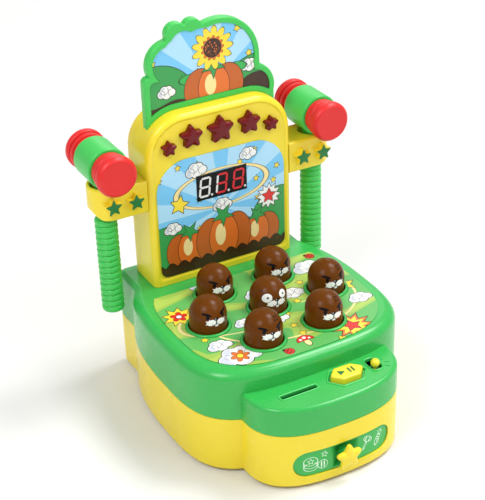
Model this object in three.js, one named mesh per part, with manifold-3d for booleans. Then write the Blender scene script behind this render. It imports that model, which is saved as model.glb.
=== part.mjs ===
// Table-top mole pounding game: a two-piece plastic base with seven sprung moles, an upright
// score tower with a picture sign, two side arms that hold the hammers, and a coin drawer.
// Millimetres. +X is the player's right, +Y points from the player to the tower, +Z is up.
// The origin is the centre of the footprint on the table; working places are given from the
// middle mole's axis and the finished group is moved by ORIGIN_Y.

import * as THREE from 'three';
import { mergeVertices } from 'three/addons/utils/BufferGeometryUtils.js';
import Module from 'manifold-3d';

const wasm = await Module();
wasm.setup();

// Clearances and cutting

const SEAT_GAP = 0.3;
const SLIDE_GAP = 0.5;
const OVERRUN = 3;
const WALL = 2.5;

// Facet counts

const BODY_SIDES = 40;
const NOSE_SIDES = 28;
const ROUND_STEPS = 3;
const ROD_SIDES = 8;
const MOLE_SIDES = 14;
const HAMMER_SIDES = 14;
const GRIP_SIDES = 8;
const CORNER_STEPS = 6;
const STAR_POINTS = 5;
const DOME_STEPS = 5;
const BALL_STEPS = 6;

// Heights of the base

const SHELL_BOTTOM = 3;
const SEAM_HEIGHT = 60;
const CONSOLE_HEIGHT = 89;
const DECK_HEIGHT = 110;

// Plan of the base: a wide rounded body, a console nose in front and a block under the tower

const BODY = {
  halfWidth: 114, centreY: 10, frontReach: 102.5, rearReach: 150,
  frontExponent: 3.6, rearExponent: 2.4, edgeRadius: 10, footRadius: 2,
};
const BODY_FRONT_Y = BODY.centreY - BODY.frontReach;
const NOSE = { halfWidth: 78, overlap: 7.5, frontReach: 53, exponent: 2.62, edgeRadius: 4 };
const NOSE_CENTRE_Y = BODY_FRONT_Y + NOSE.overlap;
const NOSE_FRONT_Y = NOSE_CENTRE_Y - NOSE.frontReach;
const REAR_BLOCK = { sideStep: 19, frontY: 40, backY: 145, cornerRadius: 9, edgeRadius: 6 };
const REAR_HALF_WIDTH = BODY.halfWidth - REAR_BLOCK.sideStep;

// Moles

const MOLE = {
  radius: 18, wall: 2.2, centreRise: 14.7, flangeRadius: 21, flangeThickness: 2.4,
  stemRadius: 3, travel: 8, acrossShare: 0.5702, rowShare: 0.4683,
};
const ACROSS_PITCH = BODY.halfWidth * MOLE.acrossShare;
const ROW_PITCH = BODY.frontReach * MOLE.rowShare;
const COLLAR = {
  outerRadius: 21.9, rise: 2.5, clearance: 1, tubeWall: 1.6, tubeGap: 0.5, tubeDepth: 19,
};
const SPRING = {
  meanRadius: 18.6, wireRadius: 0.8, turns: 3, length: 20, stepsPerTurn: 9, wireSides: 3,
};

// Playfield decal

const DECAL = {
  sideMargin: 15, frontMargin: 8.5, rearReach: 92, centreY: 6, rearY: 70, exponent: 3.2, thickness: 0.5,
};

// Console controls, all on one line across the nose

const CONTROL_LINE_INSET = 28;
const CONTROL_LINE_Y = NOSE_FRONT_Y + CONTROL_LINE_INSET;
const COIN_SLOT = { centreX: -32.4, length: 37, width: 5, rimWidth: 2, rimRise: 0.8 };
const PLAY_BUTTON = {
  centreX: 18.3, halfLength: 17.6, halfDepth: 9.4, shoulderX: 9, rise: 5.5, travel: 2,
  flange: 1.5, flangeThickness: 2.5, height: 12.5, recessMargin: 2.6, recessDepth: 0.9,
};
const POWER_KNOB = {
  centreX: 49, radius: 4.3, centreRise: 4, stemRadius: 1.5, flangeRadius: 6, flangeThickness: 2.2,
  slotWidth: 10, slotLength: 17, travel: 6, restShift: 0.4,
};
const KNOB_REST_Y = CONTROL_LINE_Y - POWER_KNOB.restShift;
const CONTROL_BOARD = {
  leftX: -8, rightX: 60.3, backShift: 3, halfDepth: 9, thickness: 1.6, drop: 9,
  postRadius: 2, postInset: 2.8,
};
const CONTROL_BOARD_Y = CONTROL_LINE_Y + CONTROL_BOARD.backShift;
const SLIDE_SWITCH = { halfWidth: 5, halfLength: 5, height: 3.5 };
const TACT_SWITCH = { radius: 3, height: 4 };

// Boards and posts under the deck

const SWITCH_BOARD = { sideMargin: 26, halfDepth: 68, thickness: 1.6, postRadius: 3, postInset: 8 };
const SWITCH_BOARD_HALF = BODY.halfWidth - SWITCH_BOARD.sideMargin;

// Coin drawer and chute

const DRAWER = {
  halfLength: 51, radius: 13.2, centreHeight: 26.5, faceInset: 1.2, faceThickness: 2.5,
  scoopRadius: 17, scoopWall: 2, scoopInset: 2.5, scoopLip: 2,
  trayHalfWidth: 44, trayReach: 93, trayBottom: 15.5, trayTop: 36, trayWall: 2,
};
const STAR_PULL = {
  outerRadius: 14, innerShare: 0.52, thickness: 4, standOff: 9.5, stemRadius: 4, bevel: 1.2,
};
const SCOOP_CENTRE_Y = NOSE_FRONT_Y + DRAWER.scoopInset;
const TRAY_BACK_Y = NOSE_FRONT_Y + DRAWER.trayReach;
const STAR_FRONT_Y = NOSE_FRONT_Y - STAR_PULL.standOff;
const RAIL = { halfSpan: 36, width: 4, frontInset: 22, backInset: 104 };
const RAIL_FRONT_Y = NOSE_FRONT_Y + RAIL.frontInset;
const RAIL_BACK_Y = NOSE_FRONT_Y + RAIL.backInset;
const CHUTE = { wall: 1.4, width: 6, shift: 9, bottomRise: 2.5 };

// Batteries under the rear of the base

const BATTERY = { radius: 7.1, length: 50.5, pitch: 15, centreY: 62, tipRadius: 2.7, tipLength: 1.5 };
const BATTERY_BAY = { margin: 2, wall: 2, headroom: 1 };
const BATTERY_DOOR = {
  overlap: 0.4, screwRadius: 1.6, headRadius: 3, headHeight: 1.8, screwLength: 7, tongue: 8,
};
const FOOT = { radius: 8, frontXShare: 0.6154, frontYShare: 0.3774, rearXShare: 0.6667, rearYShare: 0.72 };

// Tower

const TOWER = {
  halfWidth: 78, frontY: 87, splitY: 120, backY: 138, height: 177, cornerRadius: 40,
  edgeRadius: 6, backEdgeRadius: 10, faceMargin: 6.5, faceRecess: 1.2, bottomMargin: 7,
};
const TOWER_SEAT = { halfWidth: 60, depthMargin: 4, height: 8, wireHoleHalf: 10 };
const SCORE_PANEL = {
  sideMargin: 8, bottom: 8.5, top: 131, cornerRadius: 33, footCornerRadius: 8, thickness: 0.6,
};
const DISPLAY = { halfWidth: 27.5, height: 27, centreRise: 96, proud: 0.6, depth: 13 };
const STAR_LENS = {
  innerShare: 0.55, proud: 7.5, crownShare: 0.85, flange: 1.2, flangeThickness: 1.2, holeClearance: 0.4,
};
const STAR_ROW_SHARES = [
  { name: 'star_lens_outer_left', x: -0.708, rise: 0.828, radius: 0.101 },
  { name: 'star_lens_inner_left', x: -0.401, rise: 0.866, radius: 0.159 },
  { name: 'star_lens_centre', x: 0, rise: 0.867, radius: 0.186 },
  { name: 'star_lens_inner_right', x: 0.401, rise: 0.866, radius: 0.159 },
  { name: 'star_lens_outer_right', x: 0.708, rise: 0.828, radius: 0.101 },
];
const MAIN_BOARD = {
  halfWidth: 60, bottomRise: 68, topRise: 162, thickness: 1.6, postRadius: 3, postX: 50,
  lowPostRise: 76, highPostRise: 122, lampRadius: 2.5, lampLength: 5,
};
const SPEAKER = { radius: 18, depth: 9, coneRadius: 14, magnetRadius: 10, rise: 60 };
const GRILLE = { slots: 5, pitch: 6, slotWidth: 2.6, slotLength: 28 };

// Picture sign on top of the tower: a leafy outline made of round lobes.
// Each lobe is a centre and a radius as shares of the sign's half width, its height above
// the foot line measured in the same unit.

const SIGN = {
  halfWidth: 69, frontY: 102, thickness: 8, footRise: 163, shoulderRise: 213.7, waistX: 54,
  toeRise: 180, rim: 5.5, recess: 2.5, pictureThickness: 1, tabX: 26, tabWidth: 12,
  tabThickness: 4.6, tabDepth: 6, lobeSides: 18,
};
const LOBE_SHARES = [
  { x: -0.594, rise: 0.857, radius: 0.348 },
  { x: -0.478, rise: 1.262, radius: 0.159 },
  { x: -0.232, rise: 1.291, radius: 0.145 },
  { x: -0.377, rise: 1.083, radius: 0.29 },
  { x: 0.145, rise: 0.738, radius: 0.638 },
  { x: 0.652, rise: 0.242, radius: 0.362 },
];

// Side arms that hold the hammers

const ARM = {
  centreRise: 100.5, height: 33, frontY: 90, depth: 40, length: 53, holeInset: 16, holeRadius: 12.5,
  endRadius: 14, tenonHalf: 9, tenonLength: 8, edgeRadius: 2.5, rootGap: 0.3,
};
const ARM_STAR = {
  farInset: 15.6, nearShare: 0.374, radiusShare: 0.393, innerShare: 0.5, proud: 6.2, plate: 0.9, rim: 0.9,
};
const ARM_REACH = TOWER.halfWidth + ARM.length;
const ARM_HOLE_X = ARM_REACH - ARM.holeInset;
const ARM_STAR_FAR_X = ARM_REACH - ARM_STAR.farInset;
const ARM_STAR_NEAR_X = TOWER.halfWidth + (ARM_STAR_FAR_X - TOWER.halfWidth) * ARM_STAR.nearShare;
const ARM_STAR_RADIUS = (ARM_STAR_FAR_X - ARM_STAR_NEAR_X) * ARM_STAR.radiusShare;

// Hammers

const HAMMER = {
  sleeveRadius: 21, sleeveLength: 36, sleeveEdge: 2, shaftRadius: 7, shaftLength: 37, neckRadius: 9,
  neckLength: 5, gripRadius: 9.6, ringRadius: 11.2, rings: 16, gripLength: 102, endRadius: 8,
};
const CAP = {
  length: 23, neckRadius: 17.5, grooveRadius: 16.2, ringRadius: 19, headRadius: 20.6, faceRadius: 17.6,
  neckEndShare: 0.2, firstGrooveShare: 0.28, ringEndShare: 0.5, secondGrooveShare: 0.58,
  faceEdgeShare: 0.86,
};

const TOWER_FOOT = DECK_HEIGHT + SEAT_GAP;
const HAMMER_BACK_Y = ARM.frontY + ARM.depth / 2 + HAMMER.sleeveLength / 2 + SEAT_GAP + CAP.length;
const ORIGIN_Y = (STAR_FRONT_Y + HAMMER_BACK_Y) / 2;

const COLOURS = {
  green: { color: 0x3fb85f, roughness: 0.38 },
  darkGreen: { color: 0x0f7a3c, roughness: 0.4 },
  leafGreen: { color: 0x4fd06a, roughness: 0.4 },
  yellow: { color: 0xf2d92e, roughness: 0.38 },
  brown: { color: 0x6b3410, roughness: 0.25 },
  red: { color: 0xe02a28, roughness: 0.45 },
  lens: { color: 0x6e1a24, roughness: 0.2 },
  black: { color: 0x141414, roughness: 0.35 },
  print: { color: 0x7cc95a, roughness: 0.5 },
  sky: { color: 0x5cb6ea, roughness: 0.5 },
  board: { color: 0x1f6b3a, roughness: 0.6 },
  steel: { color: 0xb8bcc0, roughness: 0.35, metalness: 1 },
  rubber: { color: 0x3a3a3a, roughness: 0.85 },
};

const game = new THREE.Group();
game.position.y = -ORIGIN_Y;

// Solids from three.js geometry, joined and cut

function solid(geometry) {
  const bare = geometry.clone();
  bare.deleteAttribute('normal');
  bare.deleteAttribute('uv');
  const merged = mergeVertices(bare);
  const index = merged.index.array;
  const triangles = [];
  for (let i = 0; i < index.length; i += 3) {
    const [a, b, c] = [index[i], index[i + 1], index[i + 2]];
    if (a !== b && b !== c && c !== a) triangles.push(a, b, c);
  }
  const vertProperties = merged.attributes.position.array;
  const mesh = new wasm.Mesh({ numProp: 3, vertProperties, triVerts: new Uint32Array(triangles) });
  return new wasm.Manifold(mesh);
}

function geometryOf(shape) {
  const mesh = shape.getMesh();
  const geometry = new THREE.BufferGeometry();
  geometry.setAttribute('position', new THREE.BufferAttribute(mesh.vertProperties, 3));
  geometry.setIndex(new THREE.BufferAttribute(mesh.triVerts, 1));
  geometry.computeVertexNormals();
  return geometry;
}

function addPiece(name, shape, finish, place = [0, 0, 0], parent = game) {
  const mesh = new THREE.Mesh(geometryOf(shape), new THREE.MeshStandardMaterial(finish));
  mesh.name = name;
  mesh.position.set(...place);
  parent.add(mesh);
  return mesh;
}

function joined(shapes) {
  return shapes.reduce((whole, next) => whole.add(next));
}

function cut(shape, tools) {
  return tools.reduce((rest, tool) => rest.subtract(tool), shape);
}

// Box between two limits along each axis
function block(x0, x1, y0, y1, z0, z1) {
  const box = new THREE.BoxGeometry(x1 - x0, y1 - y0, z1 - z0);
  box.translate((x0 + x1) / 2, (y0 + y1) / 2, (z0 + z1) / 2);
  return solid(box);
}

// Upright rod at (x, y) between two heights
function post(radius, z0, z1, x, y, sides = ROD_SIDES) {
  const rod = new THREE.CylinderGeometry(radius, radius, z1 - z0, sides);
  rod.rotateX(Math.PI / 2);
  rod.translate(x, y, (z0 + z1) / 2);
  return solid(rod);
}

// Rod along Y at (x, z) between two depths
function pin(radius, y0, y1, x, z, sides = ROD_SIDES) {
  const rod = new THREE.CylinderGeometry(radius, radius, y1 - y0, sides);
  rod.translate(x, (y0 + y1) / 2, z);
  return solid(rod);
}

// Turned solid about the Z axis from [radius, height] pairs that start and end on the axis
function turned(profile, sides) {
  const lathe = new THREE.LatheGeometry(profile.map(([r, z]) => new THREE.Vector2(r, z)), sides);
  lathe.rotateX(Math.PI / 2);
  return solid(lathe);
}

// Solid through equal outlines stacked along Z, closed at both ends by fans from the centre
function loft(layers) {
  const count = layers[0].outline.length;
  const positions = [];
  const index = [];
  for (const { outline, at } of layers) {
    for (const point of outline) positions.push(point.x, point.y, at);
  }
  for (const { outline, at } of [layers[0], layers[layers.length - 1]]) {
    const centre = outline.reduce((sum, p) => sum.add(p), new THREE.Vector2()).divideScalar(count);
    positions.push(centre.x, centre.y, at);
  }
  const bottomCentre = layers.length * count;
  for (let k = 0; k < count; k += 1) {
    const next = (k + 1) % count;
    for (let layer = 0; layer + 1 < layers.length; layer += 1) {
      const low = layer * count;
      const high = low + count;
      index.push(low + k, low + next, high + next, low + k, high + next, high + k);
    }
    const top = (layers.length - 1) * count;
    index.push(bottomCentre, next, k, bottomCentre + 1, top + k, top + next);
  }
  const geometry = new THREE.BufferGeometry();
  geometry.setAttribute('position', new THREE.Float32BufferAttribute(positions, 3));
  geometry.setIndex(index);
  return geometry;
}

// Loft of outlines drawn in X and Z, with each layer's depth measured back from the player
function loftBack(layers) {
  const geometry = loft(layers.map(({ outline, at }) => ({ outline, at: -at })).reverse());
  geometry.rotateX(Math.PI / 2);
  return solid(geometry);
}

function prism(outline, z0, z1) {
  return solid(loft([{ outline, at: z0 }, { outline, at: z1 }]));
}

function panel(outline, y0, y1) {
  return loftBack([{ outline, at: y0 }, { outline, at: y1 }]);
}

// Outlines, counterclockwise

// Oval with squarish corners; the half ahead of the centre and the half behind it may differ
function ovalOutline({ halfWidth, centreY, front, rear, frontExponent, rearExponent }, sides) {
  const points = [];
  for (let k = 0; k < sides; k += 1) {
    const angle = (k / sides) * Math.PI * 2;
    const [c, s] = [Math.cos(angle), Math.sin(angle)];
    const reach = s < 0 ? front : rear;
    const power = 2 / (s < 0 ? frontExponent : rearExponent);
    const x = halfWidth * Math.sign(c) * Math.abs(c) ** power;
    const y = centreY + reach * Math.sign(s) * Math.abs(s) ** power;
    points.push(new THREE.Vector2(x, y));
  }
  return points;
}

function bodyOutline(inset) {
  return ovalOutline({
    halfWidth: BODY.halfWidth - inset,
    centreY: BODY.centreY,
    front: BODY.frontReach - inset,
    rear: BODY.rearReach - inset,
    frontExponent: BODY.frontExponent,
    rearExponent: BODY.rearExponent,
  }, BODY_SIDES);
}

function noseOutline(inset) {
  const reach = NOSE.frontReach - inset;
  return ovalOutline({
    halfWidth: NOSE.halfWidth - inset,
    centreY: NOSE_CENTRE_Y,
    front: reach,
    rear: reach,
    frontExponent: NOSE.exponent,
    rearExponent: NOSE.exponent,
  }, NOSE_SIDES);
}

// Rectangle with its own radius at the low and at the high corners
function roundedOutline(x0, x1, y0, y1, lowRadius, highRadius, steps = CORNER_STEPS) {
  const corners = [
    { x: x1 - highRadius, y: y1 - highRadius, radius: highRadius, start: 0 },
    { x: x0 + highRadius, y: y1 - highRadius, radius: highRadius, start: Math.PI / 2 },
    { x: x0 + lowRadius, y: y0 + lowRadius, radius: lowRadius, start: Math.PI },
    { x: x1 - lowRadius, y: y0 + lowRadius, radius: lowRadius, start: Math.PI * 1.5 },
  ];
  const points = [];
  for (const { x, y, radius, start } of corners) {
    const last = radius > 0 ? steps : 0;
    for (let k = 0; k <= last; k += 1) {
      const angle = start + (last ? k / last : 0) * (Math.PI / 2);
      points.push(new THREE.Vector2(x + radius * Math.cos(angle), y + radius * Math.sin(angle)));
    }
  }
  return points;
}

function rearBlockOutline(inset) {
  return roundedOutline(
    -REAR_HALF_WIDTH + inset, REAR_HALF_WIDTH - inset, REAR_BLOCK.frontY, REAR_BLOCK.backY - inset,
    0, REAR_BLOCK.cornerRadius - inset / 2, ROUND_STEPS,
  );
}

function towerOutline(inset, foot = TOWER_FOOT) {
  return roundedOutline(
    -TOWER.halfWidth + inset, TOWER.halfWidth - inset, foot, TOWER_FOOT + TOWER.height - inset,
    0, TOWER.cornerRadius - inset, CORNER_STEPS,
  );
}

function starOutline(radius, innerShare, x = 0, y = 0) {
  const points = [];
  for (let k = 0; k < 2 * STAR_POINTS; k += 1) {
    const reach = k % 2 === 0 ? radius : radius * innerShare;
    const angle = Math.PI / 2 + (k / STAR_POINTS) * Math.PI;
    points.push(new THREE.Vector2(x + reach * Math.cos(angle), y + reach * Math.sin(angle)));
  }
  return points;
}

function circleOutline(radius, x, y, sides) {
  const points = [];
  for (let k = 0; k < sides; k += 1) {
    const angle = (k / sides) * Math.PI * 2;
    points.push(new THREE.Vector2(x + radius * Math.cos(angle), y + radius * Math.sin(angle)));
  }
  return points;
}

function hexOutline(margin) {
  const long = PLAY_BUTTON.halfLength + margin;
  const deep = PLAY_BUTTON.halfDepth + margin;
  const shoulder = PLAY_BUTTON.shoulderX + margin / 2;
  const corners = [
    [long, 0], [shoulder, deep], [-shoulder, deep], [-long, 0], [-shoulder, -deep], [shoulder, -deep],
  ];
  return corners.map(([x, y]) => new THREE.Vector2(PLAY_BUTTON.centreX + x, CONTROL_LINE_Y + y));
}

// Upright solid whose top edge is rounded, and whose bottom edge may be chamfered
function cushioned(outlineAt, z0, z1, radius, inset = 0, chamfer = 0, steps = ROUND_STEPS) {
  const layers = [];
  if (chamfer > 0) layers.push({ outline: outlineAt(inset + chamfer), at: z0 });
  layers.push({ outline: outlineAt(inset), at: z0 + chamfer });
  if (radius <= 0) layers.push({ outline: outlineAt(inset), at: z1 });
  for (let k = 0; radius > 0 && k <= steps; k += 1) {
    const angle = (k / steps) * (Math.PI / 2);
    const outline = outlineAt(inset + radius * (1 - Math.cos(angle)));
    layers.push({ outline, at: z1 - radius * (1 - Math.sin(angle)) });
  }
  return solid(loft(layers));
}

// Tower-shaped solid whose face at frontY or backY is rounded
function towerCushion(flatY, roundY, radius, inset, foot, steps = ROUND_STEPS) {
  const way = Math.sign(flatY - roundY);
  const layers = [{ outline: towerOutline(inset, foot), at: flatY }];
  for (let k = 0; k <= steps; k += 1) {
    const angle = (k / steps) * (Math.PI / 2);
    const outline = towerOutline(inset + radius * (1 - Math.cos(angle)), foot);
    layers.push({ outline, at: roundY + way * radius * (1 - Math.sin(angle)) });
  }
  return loftBack(way > 0 ? layers.reverse() : layers);
}

// Places of the moles: rows of two, three and two, staggered

const MOLE_PLACES = [
  { name: 'mole_back_left', x: -ACROSS_PITCH / 2, y: ROW_PITCH },
  { name: 'mole_back_right', x: ACROSS_PITCH / 2, y: ROW_PITCH },
  { name: 'mole_middle_left', x: -ACROSS_PITCH, y: 0 },
  { name: 'mole_centre', x: 0, y: 0 },
  { name: 'mole_middle_right', x: ACROSS_PITCH, y: 0 },
  { name: 'mole_front_left', x: -ACROSS_PITCH / 2, y: -ROW_PITCH },
  { name: 'mole_front_right', x: ACROSS_PITCH / 2, y: -ROW_PITCH },
];

// Heights shared by the moles, their springs and the board below them

const DECK_UNDERSIDE = DECK_HEIGHT - WALL;
const FLANGE_TOP = DECK_UNDERSIDE - SEAT_GAP;
const FLANGE_BOTTOM = FLANGE_TOP - MOLE.flangeThickness;
const SPRING_TOP = FLANGE_BOTTOM - SEAT_GAP;
const SPRING_BOTTOM = SPRING_TOP - SPRING.length;
const BOARD_TOP = SPRING_BOTTOM - SEAT_GAP;
const CONSOLE_UNDERSIDE = CONSOLE_HEIGHT - WALL;
const CONTROL_BOARD_TOP = CONSOLE_UNDERSIDE - CONTROL_BOARD.drop;

// Base shells

function baseOutside(z0, bodyTop, noseTop, rounded, chamfer) {
  const body = cushioned(bodyOutline, z0, bodyTop, rounded ? BODY.edgeRadius : 0, 0, chamfer);
  const limit = block(
    -BODY.halfWidth - OVERRUN, BODY.halfWidth + OVERRUN,
    BODY_FRONT_Y - OVERRUN, REAR_BLOCK.backY - REAR_BLOCK.cornerRadius, z0, bodyTop,
  );
  const nose = cushioned(noseOutline, z0, noseTop, rounded ? NOSE.edgeRadius : 0, 0, chamfer);
  const rear = cushioned(rearBlockOutline, z0, bodyTop, rounded ? REAR_BLOCK.edgeRadius : 0, 0, chamfer);
  return joined([body.intersect(limit), nose, rear]);
}

function baseInside(z0, bodyTop, noseTop, rounded) {
  const bodyRadius = rounded ? BODY.edgeRadius - WALL : 0;
  const noseRadius = rounded ? NOSE.edgeRadius - WALL : 0;
  const rearRadius = rounded ? REAR_BLOCK.edgeRadius - WALL : 0;
  const body = cushioned(bodyOutline, z0, bodyTop, bodyRadius, WALL, 0, 1);
  const limit = block(
    -BODY.halfWidth, BODY.halfWidth, BODY_FRONT_Y,
    REAR_BLOCK.backY - REAR_BLOCK.cornerRadius - WALL, z0, bodyTop,
  );
  const nose = cushioned(noseOutline, z0, noseTop, noseRadius, WALL, 0, 1);
  const rear = cushioned(rearBlockOutline, z0, bodyTop, rearRadius, WALL, 0, 1);
  return joined([body.intersect(limit), nose, rear]);
}

// Footprint of the three batteries with their room, shared by the bay and the door

const BAY_HALF_WIDTH = BATTERY.pitch + BATTERY.radius + BATTERY_BAY.margin;
const BAY_HALF_DEPTH = BATTERY.length / 2 + BATTERY.tipLength + BATTERY_BAY.margin;
const BATTERY_AXIS = SHELL_BOTTOM + WALL + SEAT_GAP + BATTERY.radius;
const BAY_TOP = BATTERY_AXIS + BATTERY.radius + BATTERY_BAY.headroom;
const DOOR_SCREW_Y = BATTERY.centreY - BAY_HALF_DEPTH - BATTERY_DOOR.tongue / 2;
const SCREW_BOSS_TOP = SHELL_BOTTOM + WALL + BATTERY_DOOR.screwLength;

function batteryBayWalls() {
  const w = BAY_HALF_WIDTH + BATTERY_BAY.wall;
  const d = BAY_HALF_DEPTH + BATTERY_BAY.wall;
  const top = BAY_TOP + BATTERY_BAY.wall;
  const walls = block(-w, w, BATTERY.centreY - d, BATTERY.centreY + d, SHELL_BOTTOM, top);
  const bossRadius = BATTERY_DOOR.headRadius + BATTERY_BAY.wall;
  return walls.add(post(bossRadius, SHELL_BOTTOM, SCREW_BOSS_TOP, 0, DOOR_SCREW_Y));
}

function batteryBayRoom() {
  const low = SHELL_BOTTOM - OVERRUN;
  const front = BATTERY.centreY - BAY_HALF_DEPTH;
  const back = BATTERY.centreY + BAY_HALF_DEPTH;
  const room = block(-BAY_HALF_WIDTH, BAY_HALF_WIDTH, front, back, low, BAY_TOP);
  const tongue = block(
    -BATTERY_DOOR.tongue, BATTERY_DOOR.tongue, front - BATTERY_DOOR.tongue, front + OVERRUN,
    low, SHELL_BOTTOM + WALL,
  );
  const screwRadius = BATTERY_DOOR.screwRadius + SEAT_GAP;
  const screwHole = post(screwRadius, low, SCREW_BOSS_TOP - WALL / 2, 0, DOOR_SCREW_Y);
  return joined([room, tongue, screwHole]);
}

function drawerOutline(margin) {
  const radius = DRAWER.radius + margin;
  const long = DRAWER.halfLength + margin;
  return roundedOutline(
    -long, long, DRAWER.centreHeight - radius, DRAWER.centreHeight + radius, radius, radius, CORNER_STEPS,
  );
}

function addLowerShell() {
  const seam = SEAM_HEIGHT - SEAT_GAP / 2;
  const outside = baseOutside(SHELL_BOTTOM, seam, seam, false, BODY.footRadius);
  const top = SEAM_HEIGHT + OVERRUN;
  const inside = baseInside(SHELL_BOTTOM + WALL, top, top, false);
  const floor = SHELL_BOTTOM + WALL / 2;
  const rails = [-1, 1].map((side) => {
    const x = side * RAIL.halfSpan;
    const half = RAIL.width / 2;
    return block(x - half, x + half, RAIL_FRONT_Y, RAIL_BACK_Y, floor, DRAWER.trayBottom - SEAT_GAP);
  });
  const drawerHole = panel(drawerOutline(SLIDE_GAP), NOSE_FRONT_Y - OVERRUN, RAIL_FRONT_Y - SLIDE_GAP);
  const shell = joined([cut(outside, [inside]), ...rails, batteryBayWalls()]);
  addPiece('lower_shell', cut(shell, [batteryBayRoom(), drawerHole]), COLOURS.yellow);
}

function collarRing(x, y) {
  const inner = COLLAR.outerRadius - COLLAR.clearance;
  const tube = MOLE.flangeRadius + COLLAR.tubeGap + COLLAR.tubeWall;
  const low = DECK_UNDERSIDE - COLLAR.tubeDepth;
  const top = DECK_HEIGHT + COLLAR.rise;
  const ring = [
    [0, DECK_UNDERSIDE], [COLLAR.outerRadius, DECK_UNDERSIDE],
    [COLLAR.outerRadius, top - COLLAR.clearance], [inner, top], [0, top],
  ];
  const collar = turned(ring, MOLE_SIDES).translate([x, y, 0]);
  return collar.add(post(tube, low, DECK_HEIGHT - WALL / 2, x, y, MOLE_SIDES));
}

function collarBore(x, y) {
  const low = DECK_UNDERSIDE - COLLAR.tubeDepth - OVERRUN;
  const high = DECK_HEIGHT + COLLAR.rise + OVERRUN;
  const bore = post(MOLE.radius + COLLAR.clearance, low, high, x, y, MOLE_SIDES);
  return bore.add(post(MOLE.flangeRadius + COLLAR.tubeGap, low, DECK_UNDERSIDE, x, y, MOLE_SIDES));
}

function switchBoardPosts(radius, z0, z1) {
  const places = [[-1, -1], [1, -1], [-1, 1], [1, 1]];
  const x = SWITCH_BOARD_HALF - SWITCH_BOARD.postInset;
  const y = SWITCH_BOARD.halfDepth - SWITCH_BOARD.postInset;
  return places.map(([sx, sy]) => post(radius, z0, z1, sx * x, sy * y));
}

function controlBoardPosts() {
  const x0 = CONTROL_BOARD.leftX + CONTROL_BOARD.postInset;
  const x1 = CONTROL_BOARD.rightX - CONTROL_BOARD.postInset;
  const y0 = CONTROL_BOARD_Y - CONTROL_BOARD.halfDepth + CONTROL_BOARD.postInset;
  const y1 = CONTROL_BOARD_Y + CONTROL_BOARD.halfDepth - CONTROL_BOARD.postInset;
  const corners = [[x0, y0], [x1, y0], [x0, y1], [x1, y1]];
  return corners.map(([x, y]) => (
    post(CONTROL_BOARD.postRadius, CONTROL_BOARD_TOP + SEAT_GAP, CONSOLE_UNDERSIDE + WALL / 2, x, y)
  ));
}

function coinSlotOutline(margin) {
  const long = COIN_SLOT.length / 2 + margin;
  const wide = COIN_SLOT.width / 2 + margin;
  return roundedOutline(
    COIN_SLOT.centreX - long, COIN_SLOT.centreX + long, CONTROL_LINE_Y - wide, CONTROL_LINE_Y + wide,
    wide / 2, wide / 2, 2,
  );
}

function knobSlotOutline() {
  const x = POWER_KNOB.centreX;
  const half = POWER_KNOB.slotWidth / 2;
  const front = KNOB_REST_Y - half;
  return roundedOutline(x - half, x + half, front, front + POWER_KNOB.slotLength, half, half, 3);
}

function consoleCuts() {
  const low = CONSOLE_UNDERSIDE - OVERRUN;
  const high = CONSOLE_HEIGHT + OVERRUN;
  const slot = prism(coinSlotOutline(0), low, high);
  const hexHole = prism(hexOutline(SLIDE_GAP), low, high);
  const recessFloor = CONSOLE_HEIGHT - PLAY_BUTTON.recessDepth;
  const hexRecess = prism(hexOutline(PLAY_BUTTON.recessMargin), recessFloor, high);
  return [slot, hexHole, hexRecess, prism(knobSlotOutline(), low, high)];
}

function towerSeat() {
  const y0 = TOWER.frontY + WALL + TOWER_SEAT.depthMargin;
  const y1 = TOWER.backY - WALL - TOWER_SEAT.depthMargin;
  const half = TOWER_SEAT.halfWidth;
  const top = DECK_HEIGHT + TOWER_SEAT.height;
  const frame = block(-half, half, y0, y1, DECK_HEIGHT - WALL / 2, top);
  const inside = block(-half + WALL, half - WALL, y0 + WALL, y1 - WALL, DECK_HEIGHT, top + OVERRUN);
  return cut(frame, [inside]);
}

function addUpperShell() {
  const seam = SEAM_HEIGHT + SEAT_GAP / 2;
  const outside = baseOutside(seam, DECK_HEIGHT, CONSOLE_HEIGHT, true, 0);
  const inside = baseInside(seam - OVERRUN, DECK_UNDERSIDE, CONSOLE_UNDERSIDE, true);
  const collars = MOLE_PLACES.map(({ x, y }) => collarRing(x, y));
  const bores = MOLE_PLACES.map(({ x, y }) => collarBore(x, y));
  const postTop = DECK_UNDERSIDE + WALL / 2;
  const posts = [
    ...switchBoardPosts(SWITCH_BOARD.postRadius, BOARD_TOP + SEAT_GAP, postTop), ...controlBoardPosts(),
  ];
  const slotOutline = coinSlotOutline(COIN_SLOT.rimWidth);
  const slotRim = prism(slotOutline, CONSOLE_HEIGHT - WALL / 2, CONSOLE_HEIGHT + COIN_SLOT.rimRise);
  const wireY = (TOWER.frontY + TOWER.backY) / 2;
  const half = TOWER_SEAT.wireHoleHalf;
  const wireHole = block(
    -half, half, wireY - half, wireY + half, DECK_UNDERSIDE - OVERRUN, DECK_HEIGHT + OVERRUN,
  );
  const shell = joined([cut(outside, [inside]), ...collars, ...posts, slotRim, towerSeat()]);
  addPiece('upper_shell', cut(shell, [...bores, ...consoleCuts(), wireHole]), COLOURS.green);
}

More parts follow.
